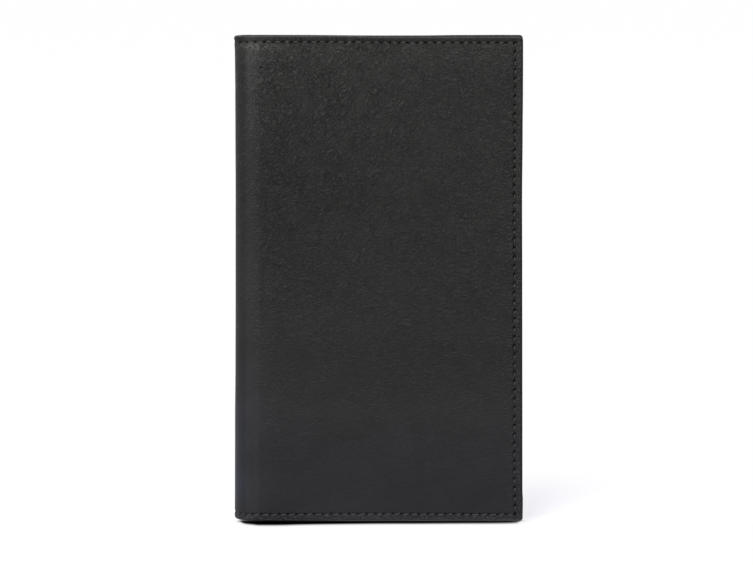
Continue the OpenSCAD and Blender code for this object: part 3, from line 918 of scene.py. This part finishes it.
def leather_piece(name, surface, first, last, edge=None):
    """The outer leather between two lines of the whole surface. A free front or back edge is
    turned in like the top and the bottom; other ends are cut square."""
    s, z, grid, normals = [part[first:last + 1] for part in surface]
    columns, rows = s.shape
    points, uv = [grid.reshape(-1, 3)], [np.stack([s, z], -1).reshape(-1, 2)]
    faces = grid_faces(columns, rows, 0, True)
    bottom, top = [[(i, j) for i in range(columns)] for j in (0, rows - 1)]
    left, right = [[(i, j) for j in range(1, rows)] for i in (0, columns - 1)]
    paths = {"front": [bottom[::-1] + left + top[1:]],
             "back": [bottom + right + top[::-1][1:]], None: [bottom, top]}[edge]

    def moved_in(i, j, inset):
        """Where a point of a path lies once its edge has moved in."""
        def from_edge(distance, on_edge):
            if on_edge or distance >= RIM_REACH:
                return inset if on_edge else distance
            return inset + (distance - RIM_R) * (RIM_REACH - inset) / (RIM_REACH - RIM_R)
        si, zi, on_end = s[i, j], z[i, j], j in (0, rows - 1)
        zi = from_edge(zi, on_end) if zi < MIDDLE_Z else COVER_H - from_edge(COVER_H - zi, on_end)
        if edge == "front":
            si = from_edge(si, i == 0)
        elif edge == "back":
            si = GIRTH - from_edge(GIRTH - si, i == columns - 1)
        return si, zi

    count = columns * rows
    ends = []
    for path in paths:
        before = [i * rows + j for i, j in path]
        for inset, depth in rim_rings():
            si, zi = np.array([moved_in(i, j, inset) for i, j in path]).T
            uneven = RIM_UNEVEN * waves(si / 6, zi / 6, 15) * (depth < LINING_Y - 0.01)
            points.append(place(si, zi, depth - uneven * smooth(1 - inset)))
            uv.append(np.stack([si, zi], -1))
            now = list(range(count, count + len(path)))
            count += len(path)
            faces += zip(before, before[1:], now[1:], now)
            before = now
        ends.append(before)
    # The inner face of the leather
    faces += [ends[0]] if edge else zip(ends[0], ends[0][1:], ends[1][1:], ends[1])
    smooth_faces = np.ones(len(faces), bool)
    smooth_faces[-1] = edge is None
    uv = np.concatenate(uv)
    obj = make_mesh(name, np.concatenate(points), faces, uv, "outer_leather", smooth_faces)
    close_and_orient(obj)

    mesh = obj.data
    mesh.set_sharp_from_angle(angle=math.radians(60))
    index = corner_vertices(mesh)
    # The Marks map carries the painted shade and the painted edge light
    mesh.uv_layers.new(name="Marks").data.foreach_set(
        "uv", marks(*uv.T)[index].astype(np.float32).ravel())
    outer = normals.reshape(-1, 3)
    corners = np.zeros(len(mesh.polygons), int)
    mesh.polygons.foreach_get("loop_total", corners)
    on_face = np.array([len(polygon.vertices) == 4 and max(polygon.vertices) < len(outer)
                        for polygon in mesh.polygons])
    chosen = np.repeat(on_face, corners)
    given = np.zeros((len(index), 3), np.float32)
    given[chosen] = outer[index[chosen]]
    mesh.normals_split_custom_set(given.tolist())
    return obj


def make_outer_leather():
    s, z = leather_lines()
    grid = place(s, z, -relief(s, z))
    surface = s, z, grid, surface_normals(grid)
    cuts = [int(np.argmin(np.abs(s[:, 0] - edge))) for edge in STRIP_EDGES]
    for side, first, last in (("front", 0, cuts[0]), ("back", cuts[4], len(s) - 1)):
        obj = leather_piece(side + "_outer_leather", surface, first, last, side)
        dress(obj, "outer_leather", side + "_cover", side + "_leather")
    for k in range(4):
        obj = leather_piece("fold_outer_leather_" + STRIP_NAMES[k], surface, cuts[k], cuts[k + 1])
        dress_strip(obj, k, "fold_leather")


# ---------------------------------------------------------------- stitches as geometry nodes

def make_stitch_tree():
    """One thread stitch on each point, lying along the point's direction."""
    given, end = group("stitches", {"Geometry": "Geometry", "Thread": 0.45 * MM,
                                    "Rise": 0.18 * MM, "Dip": 0.3 * MM, "Slant": 0.1, "Seed": 1,
                                    "Material": "Material"},
                       {"Geometry": "Geometry"}, "GeometryNodeTree")
    tree = end.id_data

    def combine(x, y, z):
        return add(tree, "ShaderNodeCombineXYZ", {0: x, 1: y, 2: z})[0]

    def attribute(name, kind="FLOAT"):
        return add(tree, "GeometryNodeInputNamedAttribute", {"Name": name},
                   data_type=kind)["Attribute"]

    def with_factor(curve, name):
        """A curve that remembers how far along it each point is."""
        node = add(tree, "GeometryNodeCaptureAttribute", {"Geometry": curve}, domain="POINT").node
        node.capture_items.new("FLOAT", name)
        factor = add(tree, "GeometryNodeSplineParameter")["Factor"]
        connect(factor, node.inputs[name])
        return Made(node), factor

    low = given["Dip"] * -1.0
    line, along = with_factor(
        add(tree, "GeometryNodeCurveQuadraticBezier",
            {"Resolution": 7, "Start": combine(-0.5, 0.0, low), "End": combine(0.5, 0.0, low),
             "Middle": combine(0.0, 0.0, given["Rise"] * 2.0 + given["Dip"])})[0], "Along")
    ring, _ = with_factor(
        add(tree, "GeometryNodeCurvePrimitiveCircle", {"Resolution": 7, "Radius": 1.0})[0], "Round")
    bulge = math_node("SINE", along * math.pi)
    thread = add(tree, "GeometryNodeCurveToMesh",
                 {"Curve": line["Geometry"], "Profile Curve": ring["Geometry"], "Fill Caps": True,
                  "Scale": (bulge * 0.45 + 0.55) * (given["Thread"] * 0.5)})[0]
    mapped = add(tree, "GeometryNodeStoreNamedAttribute",
                 {"Geometry": thread, "Name": "Surface",
                  "Value": combine(line["Along"], ring["Round"], 0.0)},
                 data_type="FLOAT2", domain="CORNER")[0]
    stitch = add(tree, "GeometryNodeSetShadeSmooth", {"Geometry": mapped})[0]

    rotation = add(tree, "FunctionNodeAxesToRotation",
                   {"Primary Axis": attribute("out", "FLOAT_VECTOR"),
                    "Secondary Axis": attribute("along", "FLOAT_VECTOR")},
                   primary_axis="Z", secondary_axis="X")[0]
    slant = add(tree, "FunctionNodeRandomValue",
                {2: given["Slant"] * 0.4, 3: given["Slant"] * 1.6, "Seed": given["Seed"]},
                data_type="FLOAT")[1]
    turn = add(tree, "FunctionNodeAxisAngleToRotation",
               {"Axis": (0.0, 0.0, 1.0), "Angle": slant * attribute("lean")})[0]
    turned = add(tree, "FunctionNodeRotateRotation", {"Rotation": rotation, "Rotate By": turn},
                 rotation_space="LOCAL")[0]
    laid = add(tree, "GeometryNodeInstanceOnPoints",
               {"Points": given["Geometry"], "Instance": stitch, "Rotation": turned,
                "Scale": combine(attribute("reach"), 1.0, 1.0)})[0]
    real = add(tree, "GeometryNodeRealizeInstances", {"Geometry": laid})[0]
    give(end, Geometry=add(tree, "GeometryNodeSetMaterial",
                           {"Geometry": real, "Material": given["Material"]})[0])
    return tree


STITCH_TREE = make_stitch_tree()


def stitches(name, runs, seed, thread=INNER_THREAD_D, slant=0.08, dip=0.2, rise=0.08):
    """A mesh of stitches. Each run has its holes, their outward normals, how much and to
    which side its stitches lean, and how far they reach from hole to hole."""
    parts = []
    for holes, normals, lean, share in runs:
        step = holes[1:] - holes[:-1]
        length = np.linalg.norm(step, axis=1)
        parts.append(((holes[1:] + holes[:-1]) / 2, step / length[:, None],
                      (normals[1:] + normals[:-1]) / 2, length * share * MM,
                      np.full(len(step), lean)))
    middles, along, out, reach, lean = (np.concatenate(part) for part in zip(*parts))
    mesh = bpy.data.meshes.new(name + "_points")
    mesh.from_pydata((middles * MM).tolist(), [], [])
    for key, values in (("along", along), ("out", out), ("reach", reach), ("lean", lean)):
        kind, field = ("FLOAT_VECTOR", "vector") if values.ndim == 2 else ("FLOAT", "value")
        layer = mesh.attributes.new(key, kind, "POINT")
        layer.data.foreach_set(field, values.astype(np.float32).ravel())
    source = new_object(name + "_points", mesh)
    modifier = source.modifiers.new("stitches", "NODES")
    modifier.node_group = STITCH_TREE
    given = {"Thread": thread * MM, "Rise": rise * MM, "Dip": dip * MM, "Slant": slant,
             "Seed": seed, "Material": MATERIALS["thread"]}
    for item in STITCH_TREE.interface.items_tree:
        if item.in_out == "INPUT" and item.name in given:
            modifier[item.identifier] = given[item.name]
    bpy.context.view_layer.update()
    depsgraph = bpy.context.evaluated_depsgraph_get()
    made = bpy.data.meshes.new_from_object(source.evaluated_get(depsgraph),
                                           preserve_all_data_layers=True, depsgraph=depsgraph)
    bpy.data.objects.remove(source)
    made.name = name
    return new_object(name, made)


def outer_row(s, z, sink=0.27):
    """Points and normals of holes on the outer face, where the thread lies."""
    s, z = np.broadcast_arrays(np.asarray(s, float), np.asarray(z, float))
    step = 0.01
    points = place(s, z, sink)
    normal = np.cross(place(s, z + step, sink) - points, place(s + step, z, sink) - points)
    return points, normal / np.linalg.norm(normal, axis=1, keepdims=True)


def part_of_row(holes, low, high):
    """The holes of the stitches whose middles lie between two places."""
    middles = (holes[1:] + holes[:-1]) / 2
    chosen = np.flatnonzero((middles > low) & (middles < high))
    return holes[chosen[0]:chosen[-1] + 2]


def long_rows(low, high):
    """The stitches of the bottom and top rows between two places round the cover."""
    bottom, top = [part_of_row(holes, low, high) for holes in (BOTTOM_HOLES, TOP_HOLES)]
    return [(*outer_row(bottom, BOTTOM_MARGIN - 0.2), 1.0, 0.92),
            (*outer_row(top, COVER_H - TOP_MARGIN + 0.2, 0.35), 0.4, 0.7)]


def make_outer_stitches():
    outer = {"thread": THREAD_D, "dip": 0.3, "rise": 0.24}
    for side, low, high, edge in (("front", 0, FLAT, FORE_MARGIN - 0.08),
                                  ("back", FLAT + ARC, GIRTH, GIRTH - FORE_MARGIN + 0.08)):
        runs = long_rows(low, high) + [(*outer_row(edge, FORE_HOLES[side] + 0.75), -0.6, 0.48)]
        obj = stitches(side + "_outer_stitches", runs, 21, slant=0.32, **outer)
        dress(obj, "thread", side + "_cover", side + "_edge_stitching")
    for k in range(4):
        runs = long_rows(STRIP_EDGES[k], STRIP_EDGES[k + 1])
        obj = stitches("fold_outer_stitches_" + STRIP_NAMES[k], runs, 31 + k, slant=0.3, **outer)
        dress_strip(obj, k, "fold_stitching")


# ---------------------------------------------------------------- layers inside the covers

def cover_s(side, x):
    """Distance round the cover of a point of one cover, from its x."""
    return FORE_X - x if side == "front" else GIRTH - FORE_X + x


def cover_sheet(name, side, slot, node, x_lines, z_lines, outer, inner, near_edge=None):
    """A sheet on one cover. x runs to the fore-edge, and near_edge(z) moves its near edge."""
    x, z = np.meshgrid(x_lines, z_lines, indexing="ij")
    if near_edge is not None:
        near = near_edge(z)
        x = near + (x - x_lines[0]) / (x_lines[-1] - x_lines[0]) * (x_lines[-1] - near)
    outer, inner = [depth(x, z) if callable(depth) else depth for depth in (outer, inner)]
    obj = soft_sheet(name, cover_s(side, x), z, outer, inner, slot)
    dress(obj, slot, side + "_cover", node)
    return obj


def fold_sheets(name, kind, slot, trim, z_lines, outer, inner):
    """The four strips of a layer of the fold."""
    strips = []
    for k in range(4):
        s, z = np.meshgrid(np.linspace(STRIP_EDGES[k] + trim, STRIP_EDGES[k + 1] - trim, 10),
                           z_lines, indexing="ij")
        strips.append(soft_sheet(name + STRIP_NAMES[k], s, z, outer, inner, slot))
        dress_strip(strips[-1], k, kind)
    return strips


def make_linings():
    x_lines = lines((FOLD_X, 2.0), (PANEL_X, 1))
    z_lines = lines((PANEL_INSET, 2.0), (PANEL_TOP, 1))
    inner = lambda x, z: POCKET_Y - 0.02 + 0.012 * waves(x / 7, z / 9, 4)
    sheets = [cover_sheet(side + "_lining_cloth", side, "lining", side + "_lining", x_lines,
                          z_lines, LINING_Y + 0.01, inner) for side in SIDES]
    strips = fold_sheets("fold_lining_cloth_", "fold_lining", "lining", 0.0, z_lines,
                         LINING_Y + 0.02, POCKET_Y - 0.12)
    for side, sheet, half in zip(SIDES, sheets, (strips[:2], strips[2:])):
        side + "_outer_leather"


def make_stiffeners():
    """The board and the fleece of each cover, and the fleece of the fold, all out of sight."""
    board_x = edge_lines(FOLD_X + 0.6, FORE_X - 1.35, 4.0, 0.2)
    board_z = edge_lines(1.4, COVER_H - 1.4, 4.0, 0.2)
    low, high = HEM_W + 0.2, COVER_H - HEM_W - 0.2
    inner = lambda x, z: LINING_Y - 0.03 + 0.015 * waves(x / 5, z / 5, 8)
    for side in SIDES:
        cover_sheet(side + "_cover_board", side, "board", side + "_board", board_x, board_z,
                    LEATHER_T + 0.03, HEM_Y - 0.02)
        fleece = cover_sheet(side + "_cover_fleece", side, "fleece", side + "_fleece",
                             edge_lines(FOLD_X + 0.6, FORE_X - HEM_W - 0.2, 3.0),
                             edge_lines(low, high, 3.0), HEM_Y + 0.01, inner)
    fold_sheets("fold_fleece_strip_", "fold_fleece", "fleece", 0.02, lines((low, 3.0), (high, 1)),
                LEATHER_T + 0.06, LINING_Y - 0.04)


# ---------------------------------------------------------------- pockets and card slots

def crease_at(distance):
    return 0.05 * np.exp(-(distance / 0.18) ** 2)


def seam_dips(along, across, start, depth=0.05, width=0.4):
    """Small puckers of the sewn leather beside an inner row of stitches."""
    beat = 0.5 + 0.5 * np.cos(2 * math.pi * (along - start) / STITCH_PITCH)
    return (depth + 0.05 * beat) * np.exp(-(across / width) ** 2)


def inner_seams(x, z):
    """Dips along the row that goes round the inside of a cover."""
    fore = FORE_X - INNER_MARGIN
    return seam_dips(z, x - fore, INNER_MARGIN) + seam_dips(x, z - INNER_MARGIN, fore) \
        + seam_dips(x, z - (COVER_H - INNER_MARGIN), fore)


def sewn_edge(x, z):
    """Distance from the three edges at which a pocket sheet is sewn down."""
    return np.minimum(PANEL_X - x, np.minimum(z - PANEL_INSET, PANEL_TOP - z))


def over_lining(x, z):
    """Depth of a pocket sheet's under side, which stands off the lining inside its seams."""
    return POCKET_Y + 0.01 + POCKET_ROOM * smooth((sewn_edge(x, z) - 1.5) / (POCKET_BORDER - 1.0))


def make_check_pocket():
    """The pocket panel of the back cover, with a thumb notch in its mouth."""
    def mouth(z):
        return CHECK_MOUTH_X + np.sqrt(np.maximum(THUMB_R ** 2 - (z - MIDDLE_Z) ** 2, 0))

    def over(x, z):
        away = np.abs(z - MIDDLE_Z)
        top = over_lining(x, z) + CHECK_POCKET_T - 0.04 + 0.03 * waves(x / 22, z / 26, 6)
        top = top - edge_drop(np.minimum(sewn_edge(x, z), x - mouth(z)), 0.3)
        top = top - crease_at(x - CHECK_MOUTH_X - 1.1) * (away > THUMB_R)
        sewn = (z > POCKET_BORDER + 1) & (z < COVER_H - POCKET_BORDER - 1) \
            & (away > THUMB_R + MOUTH_MARGIN - 0.5)
        return top - seam_dips(z, x - CHECK_MOUTH_X - MOUTH_MARGIN, 0) * sewn - inner_seams(x, z)

    notch_lines = MIDDLE_Z + THUMB_R * np.sin(np.linspace(-math.pi / 2, math.pi / 2, 41))
    z_lines = np.concatenate([
        lines((PANEL_INSET, 0.1), (PANEL_INSET + 0.3, 0.9), (MIDDLE_Z - THUMB_R, 1)),
        notch_lines[1:-1],
        lines((MIDDLE_Z + THUMB_R, 0.9), (PANEL_TOP - 0.3, 0.1), (PANEL_TOP, 1))])
    obj = cover_sheet("check_pocket_panel", "back", "pocket_leather", "check_pocket",
                      edge_lines(CHECK_MOUTH_X, PANEL_X, 0.9), z_lines, over_lining, over, mouth)


def make_slip_pocket():
    def over(x, z):
        edge = np.minimum(sewn_edge(x, z), x - SLIP_X)
        return over_lining(x, z) + SLIP_POCKET_T - 0.03 - edge_drop(edge, 0.25) - inner_seams(x, z)

    obj = cover_sheet("slip_pocket_panel", "front", "pocket_leather", "slip_pocket",
                      edge_lines(SLIP_X, PANEL_X, 1.0), edge_lines(PANEL_INSET, PANEL_TOP, 1.0),
                      over_lining, over)


def make_card_slots():
    """Four strips: each mouth stands over the strip above it, and each lower edge is tucked
    under the next mouth."""
    for i, mouth in enumerate(SLOT_MOUTHS):
        last = i == len(SLOT_MOUTHS) - 1
        below = PANEL_INSET if last else SLOT_MOUTHS[i + 1]
        tail = PANEL_INSET if last else below - SLOT_TAIL_W

        def under(x, z):
            climb = smooth((z - (mouth - LOWEST_CLIMB)) / LOWEST_CLIMB) if last else \
                np.clip((z - below) / (mouth - below), 0, 1)
            sides = np.minimum(PANEL_X - x, x - SLIP_X)
            return SLOT_TAIL_Y + 0.02 + 0.30 * climb - 0.14 * (1 - smooth((sides - 1.0) / 3.0))

        def over(x, z):
            climb = 1.0 if last else np.clip((z - below) / SLOT_RAMP, 0, 1)
            top = under(x, z) + SLOT_TAIL_T - 0.03 + 0.18 * climb + 0.018 * waves(x / 15, z / 9, 12)
            edge = np.minimum(np.minimum(PANEL_X - x, x - SLIP_X), mouth - z)
            top = top - edge_drop(edge, 0.2) - crease_at(mouth - z - 1.2)
            top = top - seam_dips(z, x - (SLIP_X + MOUTH_MARGIN), CARDS_BOTTOM) * (z > CARDS_BOTTOM)
            if last:
                top = top - seam_dips(x, z - CARDS_BOTTOM, SLIP_X)
            return top - inner_seams(x, z)

        obj = cover_sheet(f"card_slot_strip_{i + 1}", "front", "pocket_leather",
                          f"card_slot_{i + 1}", edge_lines(SLIP_X, PANEL_X, 1.1),
                          edge_lines(tail, mouth, 0.8, 0.25), under, over)


# ---------------------------------------------------------------- inner stitches

def inner_run(side, x0, z0, x1, z1, depth):
    """Holes of a straight inner row, and normals towards the inside of the closed cover."""
    t = np.linspace(0, 1, max(1, round(math.hypot(x1 - x0, z1 - z0) / STITCH_PITCH)) + 1)
    points = place(cover_s(side, x0 + (x1 - x0) * t), z0 + (z1 - z0) * t, depth)
    normal = np.tile([0.0, 1.0 if side == "front" else -1.0, 0.0], (len(t), 1))
    return points, normal, 1.0, 0.92


def make_inner_stitches():
    fore, low, high = FORE_X - INNER_MARGIN, INNER_MARGIN, COVER_H - INNER_MARGIN
    near, seam, slip = CHECK_MOUTH_X + MOUTH_MARGIN, SLIP_X + MOUTH_MARGIN, SLIP_X + 0.3
    reach, ends = THUMB_R + MOUTH_MARGIN, POCKET_BORDER + MOUTH_MARGIN
    pocket = POCKET_Y + CHECK_POCKET_T + 0.05
    raised, sheet, strip = pocket + POCKET_ROOM, POCKET_Y + SLIP_POCKET_T + 0.04, SLOT_TOP_Y - 0.30
    first = SLOT_MOUTHS[0]
    for side, name, node, seed, rows in (
            ("back", "back_inner_stitches", "back_inner_stitching", 41,
             [(near, low, fore, low, pocket), (near, high, fore, high, pocket),
              (fore, low, fore, high, pocket)]),
            ("back", "check_pocket_stitches", "check_pocket_stitching", 43,
             [(near, ends, near, MIDDLE_Z - reach, raised),
              (near, MIDDLE_Z + reach, near, COVER_H - ends, raised)]),
            ("front", "front_inner_stitches", "front_inner_stitching", 47,
             [(slip, low, fore, low, strip), (fore, low, fore, first, strip),
              (fore, first, fore, high, sheet), (slip, high, fore, high, sheet)]),
            ("front", "card_slot_stitches", "card_slot_stitching", 51,
             [(seam, CARDS_BOTTOM, seam, first, strip),
              (seam, CARDS_BOTTOM, fore, CARDS_BOTTOM, strip)])):
        obj = stitches(name, [inner_run(side, *row) for row in rows], seed)
        dress(obj, "thread", side + "_cover", node)


# ---------------------------------------------------------------- divider

def divider_point(x, z, y):
    x, z, y = np.broadcast_arrays(*[np.asarray(v, float) for v in (x, z, y)])
    wave = 0.18 * waves(x / 60, z / 70, 17, 2) * smooth((x - DIVIDER_X - 12) / 25)
    return np.stack([x, DIVIDER_Y + y + wave, z], -1)


def make_divider():
    low, high = DIVIDER_INSET, COVER_H - DIVIDER_INSET
    r, corner_x = BINDING_T / 2, DIVIDER_FREE_X - DIVIDER_CORNER_R
    near, wide = DIVIDER_X + BINDING_SHY, DIVIDER_X + BINDING_W
    start = near + r
    x_lines = np.concatenate([lines((start, 1.5), (corner_x, 1)), corner_x
                              + DIVIDER_CORNER_R * np.sin(np.linspace(0, math.pi / 2, 13))[1:]])
    v = np.concatenate([[0, 0.0015], np.linspace(0.01, 0.99, 90), [0.9985, 1]])
    x, v = np.meshgrid(x_lines, v, indexing="ij")
    past = np.clip((x - corner_x) / DIVIDER_CORNER_R, 0, 1)
    trim = DIVIDER_CORNER_R * (1 - np.sqrt(np.maximum(1 - past ** 2, 0))) * 0.995
    z = low + trim + v * (high - low - 2 * trim)
    sheet = soft_sheet("divider_clear_sheet", x, z, -DIVIDER_T / 2, DIVIDER_T / 2, "clear_vinyl",
                       to_point=divider_point)
    dress(sheet, "clear_vinyl", "divider", "divider_sheet")

    # The binding is one strip, folded round the inner edge of the sheet
    gap = DIVIDER_T / 2 + 0.01
    face = [(x0, r - 0.06 * smooth((x0 - wide + 0.8) / 0.8)) for x0 in np.linspace(wide, near, 8)]
    fold = [(near + r * math.cos(a), r * math.sin(a))
            for a in np.radians(np.linspace(90, 270, 11)[1:-1])]
    outline = np.array(face + fold + [(x0, -y0) for x0, y0 in face[::-1]]
                       + [(wide, -gap), (start - 0.02, -gap), (start - 0.02, gap), (wide, gap)])
    z_lines = lines((low, 1.0), (high, 1))
    x, z = np.meshgrid(outline[:, 0], z_lines, indexing="ij")
    y = np.tile(outline[:, 1][:, None], (1, len(z_lines)))
    dip = seam_dips(z, x - (wide - MOUTH_MARGIN), low, 0.04, 0.45)
    y = y - np.sign(y) * dip * (np.abs(y) > r * 0.8)
    columns, rows = x.shape
    end = (columns - 1) * rows
    faces = grid_faces(columns, rows) + [[end + j, j, j + 1, end + j + 1] for j in range(rows - 1)]
    faces += [[i * rows + j for i in range(columns)] for j in (0, rows - 1)]
    uv = np.stack([np.repeat(np.arange(columns) * 0.7, rows), z.ravel()], -1)
    smooth_faces = np.arange(len(faces)) < len(faces) - 2
    obj = make_mesh("divider_binding_strip", np.stack([x, DIVIDER_Y + y, z], -1).reshape(-1, 3),
                    faces, uv, "binding_leather", smooth_faces)
    close_and_orient(obj)
    obj.data.set_sharp_from_angle(angle=math.radians(60))
    dress(obj, "binding_leather", "divider", "divider_binding")

    count = round((high - low - 2 * MOUTH_MARGIN) / STITCH_PITCH)
    z = np.linspace(low + MOUTH_MARGIN, high - MOUTH_MARGIN, count + 1)
    holes = np.stack([np.full(len(z), wide - MOUTH_MARGIN), np.full(len(z), DIVIDER_Y + r + 0.03),
                      z], -1)
    seam = stitches("divider_stitches", [(holes, np.tile([0, 1.0, 0], (len(z), 1)), 1.0, 0.92)], 61)
    dress(seam, "thread", "divider", "divider_stitching")


# ---------------------------------------------------------------- floor and world

def background_rays(tree):
    """1 for the rays that see the background: straight, in a reflection or through glass."""
    path = add(tree, "ShaderNodeLightPath")
    return larger(path["Is Camera Ray"], larger(path["Is Glossy Ray"], path["Is Transmission Ray"]))


def make_floor():
    size = 3.0
    mesh = bpy.data.meshes.new("floor")
    mesh.from_pydata([(-size, -size, 0), (size, -size, 0), (size, size, 0), (-size, size, 0)],
                     [], [(0, 1, 2, 3)])
    new_object("floor", mesh)
    material, shader = new_material("floor", Roughness=0.9, Specular_IOR_Level=0.1)
    mesh.materials.append(material)
    tree = material.node_tree
    where = add(tree, "ShaderNodeTexCoord")["Object"]
    x, y = [part / MM for part in split(where)[:2]]
    pale = mix(noise(where, 40.0, 3.0), (0.86, 0.86, 0.84), (0.88, 0.88, 0.86))
    # White, apart from what the covers stand over, which is painted dark where they keep the light
    # out: a painted contact shadow
    front = follow(x, [(-51, 7), (-50, 5), (-48.8, 1.0), (-47, -5.5), (-44, -8.5),
                       (-41.75, -10.1), (-34.7, -9.9), (-27.7, -8.5), (-13.7, -6.75),
                       (0.35, -5.6), (14.4, -5.3), (28.4, -4.5), (42.45, -3.9), (47.7, -2.8),
                       (49.5, 1.5), (50.5, 5)])
    away = span(larger(front - y, y - 7.0), -4.5, 4.5)
    sky = add(tree, "ShaderNodeAmbientOcclusion", {"Distance": 0.012}, samples=16)["AO"]
    sky = sky + span(y, -4.0, 0.0, 0.0, 0.15)
    open_floor = larger(away, span(sky, 0.68, 0.93))
    give(shader, Base_Color=mix(open_floor, (0.004, 0.004, 0.005), pale))
    far = add(tree, "ShaderNodeVectorMath", {0: where}, operation="LENGTH")["Value"]
    near = span(far, 0.06, 0.17, 1.0, 0.0) * span(y, -10, 20)
    # A painted blue tint on the white near the object, which shows in its shadow
    tint = mix(near, (1.0, 1.0, 1.0), (0.975, 0.98, 1.065))
    white = add(tree, "ShaderNodeEmission", {"Color": tint, "Strength": 1.0})[0]
    share = open_floor * background_rays(tree) * (0.985 - near * 0.46)
    lit = add(tree, "ShaderNodeMixShader", {0: share, 1: Value(shader.outputs[0]), 2: white})[0]
    clear = add(tree, "ShaderNodeBsdfTransparent")[0]
    below = add(tree, "ShaderNodeNewGeometry")["Backfacing"]
    give(tree.nodes["Material Output"],
         Surface=add(tree, "ShaderNodeMixShader", {0: below, 1: lit, 2: clear})[0])


def make_world():
    world = bpy.data.worlds.new("studio")
    bpy.context.scene.world = world
    world.use_nodes = True
    tree = world.node_tree
    tree.nodes.clear()
    soft, white = [add(tree, "ShaderNodeBackground",
                       {"Color": (1, 1, 1, 1), "Strength": strength})[0]
                   for strength in (SKY_STRENGTH, 1.0)]
    lit = add(tree, "ShaderNodeMixShader", {0: background_rays(tree), 1: soft, 2: white})[0]
    add(tree, "ShaderNodeOutputWorld", {"Surface": lit})


make_camera()
make_world()
make_floor()
softbox("key", -16, 48, 1.5, (0.5, 0.5), 24.0, (1.0, 0.99, 0.97))
softbox("left_fill", -75, 15, 1.6, (0.4, 1.0), 2.0, (1.0, 1.0, 1.0))
softbox("right_fill", 70, 25, 1.8, (0.8, 0.8), 2.0, (0.98, 0.99, 1.0))
softbox("back_light", 165, 50, 1.8, (0.9, 0.9), 26.0, (1.0, 1.0, 1.0))

make_outer_leather()
make_outer_stitches()
make_linings()
make_stiffeners()
make_check_pocket()
make_slip_pocket()
make_card_slots()
make_inner_stitches()
make_divider()

bpy.context.scene.view_settings.view_transform = "Standard"
